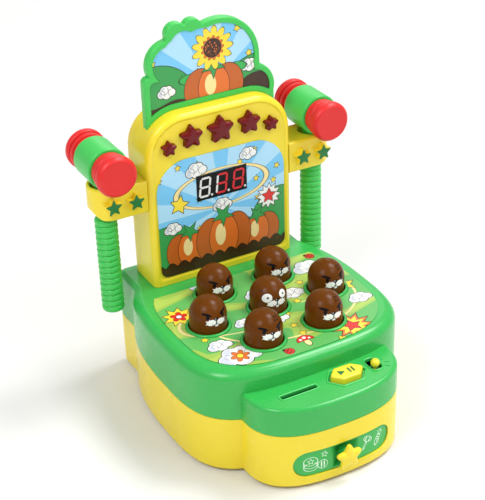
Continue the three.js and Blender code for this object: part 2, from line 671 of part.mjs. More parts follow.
function addPlayfieldDecal() {
  const z0 = DECK_HEIGHT + SEAT_GAP;
  const outline = ovalOutline({
    halfWidth: BODY.halfWidth - DECAL.sideMargin,
    centreY: DECAL.centreY,
    front: DECAL.centreY - BODY_FRONT_Y - DECAL.frontMargin,
    rear: DECAL.rearReach,
    frontExponent: DECAL.exponent,
    rearExponent: DECAL.exponent,
  }, BODY_SIDES);
  const sheet = prism(outline, z0, z0 + DECAL.thickness);
  const keep = block(
    -BODY.halfWidth, BODY.halfWidth, BODY_FRONT_Y, DECAL.rearY,
    z0 - OVERRUN, z0 + OVERRUN,
  );
  const holes = MOLE_PLACES.map(({ x, y }) => (
    post(COLLAR.outerRadius + SEAT_GAP, z0 - OVERRUN, z0 + OVERRUN, x, y, MOLE_SIDES)
  ));
  addPiece('playfield_decal', cut(sheet.intersect(keep), holes), COLOURS.print);
}

// Moles and springs, each drawn about its own axis with the deck's top as height zero

function moleShape() {
  const flangeTop = FLANGE_TOP - DECK_HEIGHT;
  const flangeBottom = FLANGE_BOTTOM - DECK_HEIGHT;
  const stemBottom = BOARD_TOP + TACT_SWITCH.height + MOLE.travel + SLIDE_GAP - DECK_HEIGHT;
  const inner = MOLE.radius - MOLE.wall;
  const profile = [[0, stemBottom], [MOLE.stemRadius, stemBottom]];
  const roomSteps = 2;
  const stemShare = Math.asin(MOLE.stemRadius / inner);
  for (let k = 0; k <= roomSteps; k += 1) {
    const angle = stemShare + (k / roomSteps) * (Math.PI / 2 - stemShare);
    profile.push([inner * Math.sin(angle), MOLE.centreRise + inner * Math.cos(angle)]);
  }
  profile.push([inner, flangeBottom], [MOLE.flangeRadius, flangeBottom], [MOLE.flangeRadius, flangeTop]);
  profile.push([MOLE.radius, flangeTop]);
  for (let k = 0; k < DOME_STEPS; k += 1) {
    const angle = (k / DOME_STEPS) * (Math.PI / 2);
    profile.push([MOLE.radius * Math.cos(angle), MOLE.centreRise + MOLE.radius * Math.sin(angle)]);
  }
  profile.push([0, MOLE.centreRise + MOLE.radius]);
  return turned(profile, MOLE_SIDES);
}

// Helix of wire with square ends, as one swept tube
function springShape() {
  const steps = SPRING.turns * SPRING.stepsPerTurn;
  const climb = SPRING.length - 2 * SPRING.wireRadius;
  const positions = [];
  const index = [];
  const sides = SPRING.wireSides;
  for (let step = 0; step <= steps; step += 1) {
    const turn = (step / SPRING.stepsPerTurn) * Math.PI * 2;
    const height = SPRING.wireRadius + (step / steps) * climb;
    for (let k = 0; k < sides; k += 1) {
      const angle = (k / sides) * Math.PI * 2;
      const reach = SPRING.meanRadius + SPRING.wireRadius * Math.cos(angle);
      const z = height + SPRING.wireRadius * Math.sin(angle);
      positions.push(reach * Math.cos(turn), reach * Math.sin(turn), z);
    }
  }
  for (let step = 0; step < steps; step += 1) {
    for (let k = 0; k < sides; k += 1) {
      const [a, b] = [step * sides + k, step * sides + ((k + 1) % sides)];
      index.push(a, a + sides, b, b, a + sides, b + sides);
    }
  }
  for (let k = 1; k + 1 < sides; k += 1) {
    index.push(0, k, k + 1);
    index.push(steps * sides, steps * sides + k + 1, steps * sides + k);
  }
  const geometry = new THREE.BufferGeometry();
  geometry.setAttribute('position', new THREE.Float32BufferAttribute(positions, 3));
  geometry.setIndex(index);
  return solid(geometry);
}

function addMoles() {
  const mole = moleShape();
  const spring = springShape();
  for (const { name, x, y } of MOLE_PLACES) {
    addPiece(name, mole, COLOURS.brown, [x, y, DECK_HEIGHT]);
    addPiece(name.replace('mole', 'spring'), spring, COLOURS.steel, [x, y, SPRING_BOTTOM]);
  }
}

function addSwitchBoard() {
  const plate = block(
    -SWITCH_BOARD_HALF, SWITCH_BOARD_HALF, -SWITCH_BOARD.halfDepth, SWITCH_BOARD.halfDepth,
    BOARD_TOP - SWITCH_BOARD.thickness, BOARD_TOP,
  );
  const switches = MOLE_PLACES.map(({ x, y }) => (
    post(TACT_SWITCH.radius, BOARD_TOP - SWITCH_BOARD.thickness / 2, BOARD_TOP + TACT_SWITCH.height, x, y)
  ));
  addPiece('switch_board', joined([plate, ...switches]), COLOURS.board);
}

// Console controls

const PLAY_BUTTON_TOP = CONSOLE_HEIGHT + PLAY_BUTTON.rise;
const PLAY_BUTTON_BOTTOM = PLAY_BUTTON_TOP - PLAY_BUTTON.height;

function addPlayButton() {
  const bevel = PLAY_BUTTON.recessDepth;
  const cap = solid(loft([
    { outline: hexOutline(0), at: PLAY_BUTTON_BOTTOM },
    { outline: hexOutline(0), at: PLAY_BUTTON_TOP - bevel },
    { outline: hexOutline(-bevel), at: PLAY_BUTTON_TOP },
  ]));
  const flangeTop = CONSOLE_UNDERSIDE - SEAT_GAP;
  const flange = prism(hexOutline(PLAY_BUTTON.flange), flangeTop - PLAY_BUTTON.flangeThickness, flangeTop);
  addPiece('play_button', cap.add(flange), COLOURS.yellow);
}

const SWITCH_TOP = CONTROL_BOARD_TOP + SLIDE_SWITCH.height;

function addPowerKnob() {
  const centre = CONSOLE_HEIGHT + POWER_KNOB.centreRise;
  const flangeTop = CONSOLE_UNDERSIDE - SEAT_GAP;
  const { radius, stemRadius, flangeRadius, flangeThickness } = POWER_KNOB;
  const bottom = SWITCH_TOP + SEAT_GAP;
  const flangeBottom = flangeTop - flangeThickness;
  const profile = [
    [0, bottom], [stemRadius, bottom], [stemRadius, flangeBottom],
    [flangeRadius, flangeBottom], [flangeRadius, flangeTop], [stemRadius, flangeTop],
  ];
  const start = -Math.acos(stemRadius / radius);
  for (let k = 0; k < BALL_STEPS; k += 1) {
    const angle = start + (k / BALL_STEPS) * (Math.PI / 2 - start);
    profile.push([radius * Math.cos(angle), centre + radius * Math.sin(angle)]);
  }
  profile.push([0, centre + radius]);
  const place = [POWER_KNOB.centreX, KNOB_REST_Y, 0];
  addPiece('power_knob', turned(profile, MOLE_SIDES), COLOURS.yellow, place);
}

function addControlBoard() {
  const { leftX, rightX, halfDepth, thickness } = CONTROL_BOARD;
  const top = CONTROL_BOARD_TOP;
  const middle = top - thickness / 2;
  const back = CONTROL_BOARD_Y + halfDepth;
  const plate = block(leftX, rightX, CONTROL_BOARD_Y - halfDepth, back, top - thickness, top);
  const switchMiddle = KNOB_REST_Y + POWER_KNOB.travel / 2;
  const slide = block(
    POWER_KNOB.centreX - SLIDE_SWITCH.halfWidth, POWER_KNOB.centreX + SLIDE_SWITCH.halfWidth,
    switchMiddle - SLIDE_SWITCH.halfLength, switchMiddle + SLIDE_SWITCH.halfLength, middle, SWITCH_TOP,
  );
  const tactTop = PLAY_BUTTON_BOTTOM - PLAY_BUTTON.travel - SEAT_GAP;
  const tact = post(TACT_SWITCH.radius, middle, tactTop, PLAY_BUTTON.centreX, CONTROL_LINE_Y);
  addPiece('control_board', joined([plate, slide, tact]), COLOURS.board);
}

// Coin chute: a slanted square tube from under the slot to the drawer

function rectangle(centreX, centreY, halfX, halfY) {
  return roundedOutline(centreX - halfX, centreX + halfX, centreY - halfY, centreY + halfY, 0, 0);
}

function addCoinChute() {
  const low = DRAWER.trayTop + CHUTE.bottomRise;
  const high = CONSOLE_UNDERSIDE - SEAT_GAP;
  const halfX = COIN_SLOT.length / 2;
  const halfY = CHUTE.width / 2;
  const lowX = COIN_SLOT.centreX + CHUTE.shift;
  const tube = (margin, over) => {
    const lean = (CHUTE.shift / (high - low)) * over;
    const section = (x) => rectangle(x, CONTROL_LINE_Y, halfX + margin, halfY + margin);
    return solid(loft([
      { outline: section(lowX + lean), at: low - over },
      { outline: section(COIN_SLOT.centreX - lean), at: high + over },
    ]));
  };
  addPiece('coin_chute', cut(tube(CHUTE.wall, 0), [tube(0, OVERRUN)]), COLOURS.leafGreen);
}

// Coin drawer: the pill-shaped face follows the nose, with a finger scoop behind the star pull

function noseSlab(inset, thickness) {
  const low = DRAWER.centreHeight - DRAWER.radius - OVERRUN;
  const high = DRAWER.centreHeight + DRAWER.radius + OVERRUN;
  const front = block(
    -NOSE.halfWidth, NOSE.halfWidth, NOSE_FRONT_Y, NOSE_CENTRE_Y,
    low - OVERRUN, high + OVERRUN,
  );
  const outer = prism(noseOutline(inset), low, high);
  const inner = prism(noseOutline(inset + thickness), low - OVERRUN, high + OVERRUN);
  return cut(outer, [inner]).intersect(front);
}

function addCoinDrawer() {
  const pill = panel(drawerOutline(0), NOSE_FRONT_Y, NOSE_CENTRE_Y);
  const face = noseSlab(DRAWER.faceInset, DRAWER.faceThickness).intersect(pill);
  const middle = DRAWER.centreHeight;
  const low = middle - DRAWER.radius;
  const high = middle + DRAWER.radius;
  const lip = DRAWER.scoopLip;
  const cupRadius = DRAWER.scoopRadius + DRAWER.scoopWall;
  const cup = post(cupRadius, low + SLIDE_GAP, high - SLIDE_GAP, 0, SCOOP_CENTRE_Y, MOLE_SIDES);
  const faceMiddle = NOSE_FRONT_Y + DRAWER.faceInset + DRAWER.faceThickness / 2;
  const behindFace = block(-NOSE.halfWidth, NOSE.halfWidth, faceMiddle, NOSE_CENTRE_Y, low, high);
  const room = post(DRAWER.scoopRadius, low + lip, high - lip, 0, SCOOP_CENTRE_Y, MOLE_SIDES);
  const front = cut(face.add(cup.intersect(behindFace)), [room]);
  addPiece('drawer_front', front, COLOURS.green);
  addDrawerTray();
  addStarPull();
}

const TRAY_FRONT_Y = SCOOP_CENTRE_Y + DRAWER.scoopRadius + DRAWER.scoopWall + SEAT_GAP;

function addDrawerTray() {
  const { trayHalfWidth, trayBottom, trayTop, trayWall } = DRAWER;
  const outer = block(-trayHalfWidth, trayHalfWidth, TRAY_FRONT_Y, TRAY_BACK_Y, trayBottom, trayTop);
  const inner = block(
    -trayHalfWidth + trayWall, trayHalfWidth - trayWall, TRAY_FRONT_Y + trayWall, TRAY_BACK_Y - trayWall,
    trayBottom + trayWall, trayTop + OVERRUN,
  );
  addPiece('drawer_tray', cut(outer, [inner]), COLOURS.yellow);
}

function addStarPull() {
  const { outerRadius, innerShare, thickness, bevel, stemRadius } = STAR_PULL;
  const star = (radius) => starOutline(radius, innerShare, 0, DRAWER.centreHeight);
  const plate = loftBack([
    { outline: star(outerRadius - bevel), at: STAR_FRONT_Y },
    { outline: star(outerRadius), at: STAR_FRONT_Y + bevel },
    { outline: star(outerRadius), at: STAR_FRONT_Y + thickness },
  ]);
  const facetDrop = stemRadius * Math.tan(Math.PI / MOLE_SIDES);
  const seat = SCOOP_CENTRE_Y + DRAWER.scoopRadius - facetDrop - SEAT_GAP;
  const stem = pin(stemRadius, STAR_FRONT_Y + thickness / 2, seat, 0, DRAWER.centreHeight);
  addPiece('star_pull', plate.add(stem), COLOURS.yellow);
}

// Underside: batteries, their door and screw, and the feet

function addBatteries() {
  const { radius, length, pitch, tipRadius, tipLength } = BATTERY;
  const half = length / 2;
  const tip = half + tipLength;
  const profile = [
    [0, -half], [radius, -half], [radius, half], [tipRadius, half], [tipRadius, tip], [0, tip],
  ];
  const cell = turned(profile, MOLE_SIDES);
  for (const [word, step] of [['left', -1], ['middle', 0], ['right', 1]]) {
    const place = [step * pitch, BATTERY.centreY, BATTERY_AXIS];
    const mesh = addPiece(`battery_${word}`, cell, COLOURS.darkGreen, place);
    mesh.rotation.x = step === 0 ? Math.PI / 2 : -Math.PI / 2;
  }
}

function addBatteryDoor() {
  const { overlap, screwRadius, headRadius, headHeight, tongue } = BATTERY_DOOR;
  const w = BAY_HALF_WIDTH - overlap;
  const d = BAY_HALF_DEPTH - overlap;
  const low = SHELL_BOTTOM - OVERRUN;
  const top = SHELL_BOTTOM + WALL;
  const front = BATTERY.centreY - BAY_HALF_DEPTH;
  const plate = block(-w, w, BATTERY.centreY - d, BATTERY.centreY + d, SHELL_BOTTOM, top);
  const tab = block(
    -tongue + overlap, tongue - overlap, front - tongue + overlap, front + OVERRUN,
    SHELL_BOTTOM, top - SEAT_GAP,
  );
  const hole = post(screwRadius + SEAT_GAP, low, top + OVERRUN, 0, DOOR_SCREW_Y);
  const seat = post(headRadius + SEAT_GAP, low, SHELL_BOTTOM + headHeight, 0, DOOR_SCREW_Y);
  addPiece('battery_door', cut(plate.add(tab), [hole, seat]), COLOURS.yellow);
  addDoorScrew();
}

function addDoorScrew() {
  const { screwRadius, headRadius, headHeight, screwLength } = BATTERY_DOOR;
  const low = SHELL_BOTTOM + SEAT_GAP / 2;
  const neck = SHELL_BOTTOM + headHeight - SEAT_GAP;
  const tip = low + screwLength;
  const profile = [
    [0, low], [headRadius, low], [headRadius, neck], [screwRadius, neck], [screwRadius, tip], [0, tip],
  ];
  addPiece('battery_door_screw', turned(profile, ROD_SIDES), COLOURS.steel, [0, DOOR_SCREW_Y, 0]);
}

function addFeet() {
  const foot = post(FOOT.radius, 0, SHELL_BOTTOM - SEAT_GAP, 0, 0, MOLE_SIDES);
  const frontX = NOSE.halfWidth * FOOT.frontXShare;
  const frontY = NOSE_CENTRE_Y - NOSE.frontReach * FOOT.frontYShare;
  const rearX = BODY.halfWidth * FOOT.rearXShare;
  const rearY = BODY.centreY + BODY.rearReach * FOOT.rearYShare;
  const places = [
    ['foot_front_left', -frontX, frontY], ['foot_front_right', frontX, frontY],
    ['foot_rear_left', -rearX, rearY], ['foot_rear_right', rearX, rearY],
  ];
  for (const [name, x, y] of places) addPiece(name, foot, COLOURS.rubber, [x, y, 0]);
}

// Tower

const STAR_ROW = STAR_ROW_SHARES.map(({ name, x, rise, radius }) => (
  { name, x: x * TOWER.halfWidth, rise: rise * TOWER.height, radius: radius * TOWER.halfWidth }
));
const ARM_HEIGHT = TOWER_FOOT + ARM.centreRise;
const ARM_MIDDLE_Y = ARM.frontY + ARM.depth / 2;
const TENON_Y = TOWER.frontY + (TOWER.splitY - TOWER.frontY) / 2;

function lensOutline({ x, rise, radius }, margin) {
  return starOutline(radius + margin, STAR_LENS.innerShare, x, TOWER_FOOT + rise);
}

function tenonHole(side) {
  const half = ARM.tenonHalf + SEAT_GAP;
  const x0 = side > 0 ? TOWER.halfWidth - WALL - OVERRUN : -TOWER.halfWidth - OVERRUN;
  const x1 = side > 0 ? TOWER.halfWidth + OVERRUN : -TOWER.halfWidth + WALL + OVERRUN;
  return block(x0, x1, TENON_Y - half, TENON_Y + half, ARM_HEIGHT - half, ARM_HEIGHT + half);
}

function signTabs(gap) {
  const { tabX, tabWidth, tabThickness, tabDepth, frontY, thickness } = SIGN;
  const middle = frontY + thickness / 2;
  const top = TOWER_FOOT + TOWER.height;
  return [-1, 1].map((side) => block(
    side * tabX - tabWidth / 2 - gap, side * tabX + tabWidth / 2 + gap,
    middle - tabThickness / 2 - gap, middle + tabThickness / 2 + gap, top - tabDepth - gap, top + OVERRUN,
  ));
}

function mainBoardPosts() {
  const y0 = TOWER.frontY + WALL / 2 + TOWER.faceRecess;
  const y1 = TOWER.frontY + TOWER.faceRecess + DISPLAY.depth - SEAT_GAP;
  const places = [];
  for (const side of [-1, 1]) {
    for (const rise of [MAIN_BOARD.lowPostRise, MAIN_BOARD.highPostRise]) {
      places.push([side * MAIN_BOARD.postX, rise]);
    }
  }
  return places.map(([x, rise]) => pin(MAIN_BOARD.postRadius, y0, y1, x, TOWER_FOOT + rise));
}

function displayOutline(margin) {
  const middle = TOWER_FOOT + DISPLAY.centreRise;
  return rectangle(0, middle, DISPLAY.halfWidth + margin, DISPLAY.height / 2 + margin);
}

function addTowerFront() {
  const { frontY, splitY, edgeRadius, faceMargin, faceRecess, bottomMargin } = TOWER;
  const outside = towerCushion(splitY - SEAT_GAP / 2, frontY, edgeRadius, 0);
  const faceWall = WALL + faceRecess;
  const insideFoot = TOWER_FOOT - OVERRUN;
  const inside = towerCushion(splitY + OVERRUN, frontY + faceWall, edgeRadius - WALL, WALL, insideFoot, 1);
  const faceOutline = towerOutline(faceMargin, TOWER_FOOT + bottomMargin);
  const y0 = frontY - OVERRUN;
  const y1 = frontY + faceWall + OVERRUN;
  const recess = panel(faceOutline, y0, frontY + faceRecess);
  const starHoles = STAR_ROW.map((star) => panel(lensOutline(star, STAR_LENS.holeClearance), y0, y1));
  const window = panel(displayOutline(SEAT_GAP), y0, y1);
  const shell = joined([cut(outside, [inside, recess]), ...mainBoardPosts()]);
  const cuts = [...starHoles, window, tenonHole(-1), tenonHole(1), ...signTabs(SEAT_GAP)];
  addPiece('tower_front_shell', cut(shell, cuts), COLOURS.yellow);
}

function grilleSlots() {
  const middle = TOWER_FOOT + SPEAKER.rise;
  const slots = [];
  for (let k = 0; k < GRILLE.slots; k += 1) {
    const z = middle + (k - (GRILLE.slots - 1) / 2) * GRILLE.pitch;
    slots.push(block(
      -GRILLE.slotLength / 2, GRILLE.slotLength / 2, TOWER.backY - WALL - OVERRUN, TOWER.backY + OVERRUN,
      z - GRILLE.slotWidth / 2, z + GRILLE.slotWidth / 2,
    ));
  }
  return slots;
}

function addTowerBack() {
  const { backY, splitY, backEdgeRadius } = TOWER;
  const outside = towerCushion(splitY + SEAT_GAP / 2, backY, backEdgeRadius, 0);
  const insideFoot = TOWER_FOOT - OVERRUN;
  const inside = towerCushion(splitY - OVERRUN, backY - WALL, backEdgeRadius - WALL, WALL, insideFoot, 1);
  addPiece('tower_back_shell', cut(outside, [inside, ...grilleSlots()]), COLOURS.yellow);
}

function addScorePanel() {
  const { sideMargin, bottom, top, cornerRadius, footCornerRadius, thickness } = SCORE_PANEL;
  const halfWidth = TOWER.halfWidth - sideMargin;
  const outline = roundedOutline(
    -halfWidth, halfWidth, TOWER_FOOT + bottom, TOWER_FOOT + top, footCornerRadius, cornerRadius,
  );
  const back = TOWER.frontY + TOWER.faceRecess - SEAT_GAP;
  const window = panel(displayOutline(SEAT_GAP), back - thickness - OVERRUN, back + OVERRUN);
  addPiece('score_panel_decal', cut(panel(outline, back - thickness, back), [window]), COLOURS.sky);
  const front = TOWER.frontY - DISPLAY.proud + TOWER.faceRecess / 2;
  const displayBack = TOWER.frontY + TOWER.faceRecess + DISPLAY.depth - SEAT_GAP;
  addPiece('score_display', panel(displayOutline(0), front, displayBack), COLOURS.black);
}

function addStarLenses() {
  const face = TOWER.frontY + TOWER.faceRecess;
  const flangeFront = face + WALL + SEAT_GAP;
  const flangeBack = flangeFront + STAR_LENS.flangeThickness;
  for (const star of STAR_ROW) {
    const crown = -star.radius * (1 - STAR_LENS.crownShare);
    const body = loftBack([
      { outline: lensOutline(star, crown), at: face - STAR_LENS.proud },
      { outline: lensOutline(star, 0), at: face - STAR_LENS.proud / 2 },
      { outline: lensOutline(star, 0), at: flangeBack },
    ]);
    const flange = panel(lensOutline(star, STAR_LENS.flange), flangeFront, flangeBack);
    addPiece(star.name, body.add(flange), COLOURS.lens);
  }
}

function addMainBoard() {
  const y0 = TOWER.frontY + TOWER.faceRecess + DISPLAY.depth;
  const { halfWidth, bottomRise, topRise, thickness, lampRadius, lampLength } = MAIN_BOARD;
  const low = TOWER_FOOT + bottomRise;
  const plate = block(-halfWidth, halfWidth, y0, y0 + thickness, low, TOWER_FOOT + topRise);
  const lampBack = y0 + thickness / 2;
  const lamps = STAR_ROW.map(({ x, rise }) => (
    pin(lampRadius, y0 - lampLength, lampBack, x, TOWER_FOOT + rise)
  ));
  addPiece('main_board', joined([plate, ...lamps]), COLOURS.board);
}

function addSpeaker() {
  const { radius, depth, coneRadius, magnetRadius, rise } = SPEAKER;
  const rim = depth / 4;
  const profile = [
    [0, 0], [magnetRadius, 0], [magnetRadius, depth / 2], [coneRadius, depth - rim],
    [radius, depth - rim], [radius, depth], [coneRadius, depth], [0, depth / 2],
  ];
  const place = [0, TOWER.backY - WALL - SEAT_GAP - depth, TOWER_FOOT + rise];
  const mesh = addPiece('speaker', turned(profile, MOLE_SIDES), COLOURS.black, place);
  mesh.rotation.x = -Math.PI / 2;
}

// Picture sign

function signOutlineSolid(inset, y0, y1) {
  const unit = SIGN.halfWidth;
  const foot = TOWER_FOOT + SIGN.footRise;
  const lobes = LOBE_SHARES.map(({ x, rise, radius }) => {
    const lobe = circleOutline(radius * unit - inset, x * unit, foot + rise * unit, SIGN.lobeSides);
    return panel(lobe, y0, y1);
  });
  const left = -unit + inset;
  const trunkTop = TOWER_FOOT + SIGN.shoulderRise - inset;
  const toeTop = TOWER_FOOT + SIGN.toeRise - inset;
  const trunk = panel(roundedOutline(left, SIGN.waistX - inset, foot, trunkTop, 0, SIGN.rim), y0, y1);
  const toe = panel(roundedOutline(left, unit - inset, foot, toeTop, 0, 0), y0, y1);
  return joined([...lobes, trunk, toe]);
}

function addSign() {
  const { frontY, thickness, recess, rim, pictureThickness } = SIGN;
  const backY = frontY + thickness;
  const towerRoom = panel(towerOutline(-SEAT_GAP, DECK_HEIGHT), frontY - OVERRUN, backY + OVERRUN);
  const rimRoom = panel(towerOutline(-rim, DECK_HEIGHT), frontY - OVERRUN, backY + OVERRUN);
  const board = cut(signOutlineSolid(0, frontY, backY), [towerRoom]);
  const pocket = cut(signOutlineSolid(rim, frontY - OVERRUN, frontY + recess), [rimRoom]);
  addPiece('sign_frame', joined([cut(board, [pocket]), ...signTabs(0)]), COLOURS.leafGreen);
  const back = frontY + recess - SEAT_GAP;
  const picture = cut(signOutlineSolid(rim + SEAT_GAP, back - pictureThickness, back), [
    panel(towerOutline(-rim - SEAT_GAP, DECK_HEIGHT), frontY - OVERRUN, backY + OVERRUN),
  ]);
  addPiece('sign_picture', picture, COLOURS.sky);
}

// Side arms

function mirroredX(points) {
  return points.map((p) => new THREE.Vector2(-p.x, p.y)).reverse();
}

// Plan of the arm: flat at the tower's side, half round at its end, drawn in by an edge radius
function armPlan(inset) {
  const root = TOWER.halfWidth + ARM.rootGap;
  const endRadius = ARM.depth / 2 - inset;
  const centreX = ARM_REACH - ARM.depth / 2;
  const points = [
    new THREE.Vector2(root, ARM_MIDDLE_Y + endRadius), new THREE.Vector2(root, ARM_MIDDLE_Y - endRadius),
  ];
  const steps = 2 * CORNER_STEPS;
  for (let k = 0; k <= steps; k += 1) {
    const angle = -Math.PI / 2 + (k / steps) * Math.PI;
    const x = centreX + endRadius * Math.cos(angle);
    points.push(new THREE.Vector2(x, ARM_MIDDLE_Y + endRadius * Math.sin(angle)));
  }
  return points;
}

// Front view of the arm, with its outer lower corner rounded
function armFront(low, high) {
  const root = TOWER.halfWidth + ARM.rootGap;
  const centreX = ARM_REACH - ARM.endRadius;
  const points = [
    new THREE.Vector2(root - OVERRUN, high + OVERRUN), new THREE.Vector2(root - OVERRUN, low - OVERRUN),
  ];
  for (let k = 0; k <= CORNER_STEPS; k += 1) {
    const angle = -Math.PI / 2 + (k / CORNER_STEPS) * (Math.PI / 2);
    const x = centreX + ARM.endRadius * Math.cos(angle);
    points.push(new THREE.Vector2(x, low + ARM.endRadius + ARM.endRadius * Math.sin(angle)));
  }
  points.push(new THREE.Vector2(ARM_REACH, high + OVERRUN));
  return points;
}

function armTenon(side) {
  const tip = side * (TOWER.halfWidth - ARM.tenonLength);
  const root = side * (TOWER.halfWidth + ARM.rootGap + WALL);
  return block(
    Math.min(tip, root), Math.max(tip, root), TENON_Y - ARM.tenonHalf, TENON_Y + ARM.tenonHalf,
    ARM_HEIGHT - ARM.tenonHalf, ARM_HEIGHT + ARM.tenonHalf,
  );
}

function armSolid(side) {
  const { height, frontY, depth, edgeRadius } = ARM;
  const turn = (points) => (side > 0 ? points : mirroredX(points));
  const low = ARM_HEIGHT - height / 2;
  const high = ARM_HEIGHT + height / 2;
  const inPlan = solid(loft([
    { outline: turn(armPlan(edgeRadius)), at: low },
    { outline: turn(armPlan(0)), at: low + edgeRadius },
    { outline: turn(armPlan(0)), at: high - edgeRadius },
    { outline: turn(armPlan(edgeRadius)), at: high },
  ]));
  const frontView = panel(turn(armFront(low, high)), frontY - OVERRUN, frontY + depth + OVERRUN);
  const hole = post(
    ARM.holeRadius, low - OVERRUN, high + OVERRUN, side * ARM_HOLE_X, ARM_MIDDLE_Y, MOLE_SIDES,
  );
  const bossFront = frontY - ARM_STAR.proud + ARM_STAR.plate + SEAT_GAP;
  const bosses = [ARM_STAR_NEAR_X, ARM_STAR_FAR_X].map((x) => {
    const star = starOutline(ARM_STAR_RADIUS, ARM_STAR.innerShare, side * x, ARM_HEIGHT);
    return panel(star, bossFront, frontY + WALL);
  });
  return cut(joined([inPlan.intersect(frontView), armTenon(side), ...bosses]), [hole]);
}

function addArms() {
  for (const [word, side] of [['left', -1], ['right', 1]]) {
    addPiece(`${word}_arm`, armSolid(side), COLOURS.yellow);
    const front = ARM.frontY - ARM_STAR.proud;
    const radius = ARM_STAR_RADIUS - ARM_STAR.rim;
    for (const [place, x] of [['near', ARM_STAR_NEAR_X], ['far', ARM_STAR_FAR_X]]) {
      const outline = starOutline(radius, ARM_STAR.innerShare, side * x, ARM_HEIGHT);
      const plate = panel(outline, front, front + ARM_STAR.plate);
      addPiece(`${word}_arm_star_${place}`, plate, COLOURS.darkGreen);
    }
  }
}

// Hammers, drawn about the middle of the head with the head along Y and the handle down

function hammerHandle() {
  const { sleeveRadius, sleeveLength, sleeveEdge, shaftRadius, shaftLength } = HAMMER;
  const { neckRadius, neckLength, gripRadius, ringRadius, rings, gripLength, endRadius } = HAMMER;
  const half = sleeveLength / 2;
  const sleeve = turned([
    [0, -half], [sleeveRadius - sleeveEdge, -half], [sleeveRadius, -half + sleeveEdge],
    [sleeveRadius, half - sleeveEdge], [sleeveRadius - sleeveEdge, half], [0, half],
  ], HAMMER_SIDES).rotate([90, 0, 0]);
  const shaftTop = -sleeveRadius + sleeveEdge * 2;
  const gripTop = -sleeveRadius - shaftLength;
  const pitch = gripLength / rings;
  const profile = [[0, gripTop - gripLength], [endRadius, gripTop - gripLength]];
  for (let k = rings - 1; k >= 0; k -= 1) {
    const ringTop = gripTop - k * pitch;
    profile.push([ringRadius, ringTop - pitch / 2]);
    profile.push([gripRadius, ringTop]);
  }
  profile.push([shaftRadius, gripTop], [shaftRadius, -sleeveRadius - neckLength]);
  profile.push([neckRadius, -sleeveRadius], [neckRadius, shaftTop], [0, shaftTop]);
  return sleeve.add(turned(profile, GRIP_SIDES));
}

function hammerCap() {
  const { length, neckRadius, grooveRadius, ringRadius, headRadius, faceRadius } = CAP;
  const at = (share) => length * share;
  return turned([
    [0, 0], [neckRadius, 0], [neckRadius, at(CAP.neckEndShare)], [grooveRadius, at(CAP.firstGrooveShare)],
    [ringRadius, at(CAP.firstGrooveShare)], [ringRadius, at(CAP.ringEndShare)],
    [grooveRadius, at(CAP.secondGrooveShare)], [headRadius, at(CAP.secondGrooveShare)],
    [headRadius, at(CAP.faceEdgeShare)], [faceRadius, length], [0, length],
  ], HAMMER_SIDES);
}

function addHammers() {
  const handle = hammerHandle();
  const cap = hammerCap();
  const axisHeight = ARM_HEIGHT + ARM.height / 2 + SEAT_GAP + HAMMER.sleeveRadius;
  for (const [word, side] of [['left', -1], ['right', 1]]) {
    const hammer = new THREE.Group();
    hammer.position.set(side * ARM_HOLE_X, ARM_MIDDLE_Y, axisHeight);
    game.add(hammer);
    addPiece(`${word}_hammer_handle`, handle, COLOURS.leafGreen, [0, 0, 0], hammer);
    const seat = HAMMER.sleeveLength / 2 + SEAT_GAP;
    const front = addPiece(`${word}_hammer_front_cap`, cap, COLOURS.red, [0, -seat, 0], hammer);
    front.rotation.x = Math.PI / 2;
    const back = addPiece(`${word}_hammer_back_cap`, cap, COLOURS.red, [0, seat, 0], hammer);
    back.rotation.x = -Math.PI / 2;
  }
}

addLowerShell();
addUpperShell();
addPlayfieldDecal();
addMoles();
addSwitchBoard();
addPlayButton();
addPowerKnob();
addControlBoard();
addCoinChute();
addCoinDrawer();
addBatteries();
addBatteryDoor();
addFeet();
addTowerFront();
addTowerBack();
addScorePanel();
addStarLenses();
addMainBoard();
addSpeaker();
addSign();
addArms();
addHammers();

export default game;
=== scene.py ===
"""Dressed model of a table-top mole pounding game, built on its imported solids.

Shapes are worked out in millimetres about the middle mole's axis: +X is the player's right, +Y
points from the player to the tower and +Z is up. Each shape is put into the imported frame, in
metres, when its mesh is made.
"""

import math
from functools import reduce

import bmesh
import bpy
import numpy as np
from mathutils import Matrix, Vector


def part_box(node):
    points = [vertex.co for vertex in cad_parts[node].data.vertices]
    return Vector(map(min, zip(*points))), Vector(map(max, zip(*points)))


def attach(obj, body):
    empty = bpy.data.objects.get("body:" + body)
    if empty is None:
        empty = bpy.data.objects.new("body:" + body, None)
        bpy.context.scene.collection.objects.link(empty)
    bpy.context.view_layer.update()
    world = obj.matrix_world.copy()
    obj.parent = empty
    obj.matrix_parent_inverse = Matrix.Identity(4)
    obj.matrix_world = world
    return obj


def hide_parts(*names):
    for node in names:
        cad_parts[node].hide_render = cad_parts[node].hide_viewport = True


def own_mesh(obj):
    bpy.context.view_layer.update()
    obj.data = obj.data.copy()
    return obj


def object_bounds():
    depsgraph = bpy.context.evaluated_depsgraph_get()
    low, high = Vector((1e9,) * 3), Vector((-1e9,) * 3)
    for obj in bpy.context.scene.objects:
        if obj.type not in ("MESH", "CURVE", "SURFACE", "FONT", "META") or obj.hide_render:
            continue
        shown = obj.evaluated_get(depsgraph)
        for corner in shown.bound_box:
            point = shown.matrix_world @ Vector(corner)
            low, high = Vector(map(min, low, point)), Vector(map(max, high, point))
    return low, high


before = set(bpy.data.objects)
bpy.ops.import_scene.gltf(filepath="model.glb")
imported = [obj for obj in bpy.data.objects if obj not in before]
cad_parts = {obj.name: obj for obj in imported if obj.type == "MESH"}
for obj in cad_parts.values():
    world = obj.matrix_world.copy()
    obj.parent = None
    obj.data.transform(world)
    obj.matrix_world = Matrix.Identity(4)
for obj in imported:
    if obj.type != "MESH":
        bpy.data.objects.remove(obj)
CAD_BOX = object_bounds()

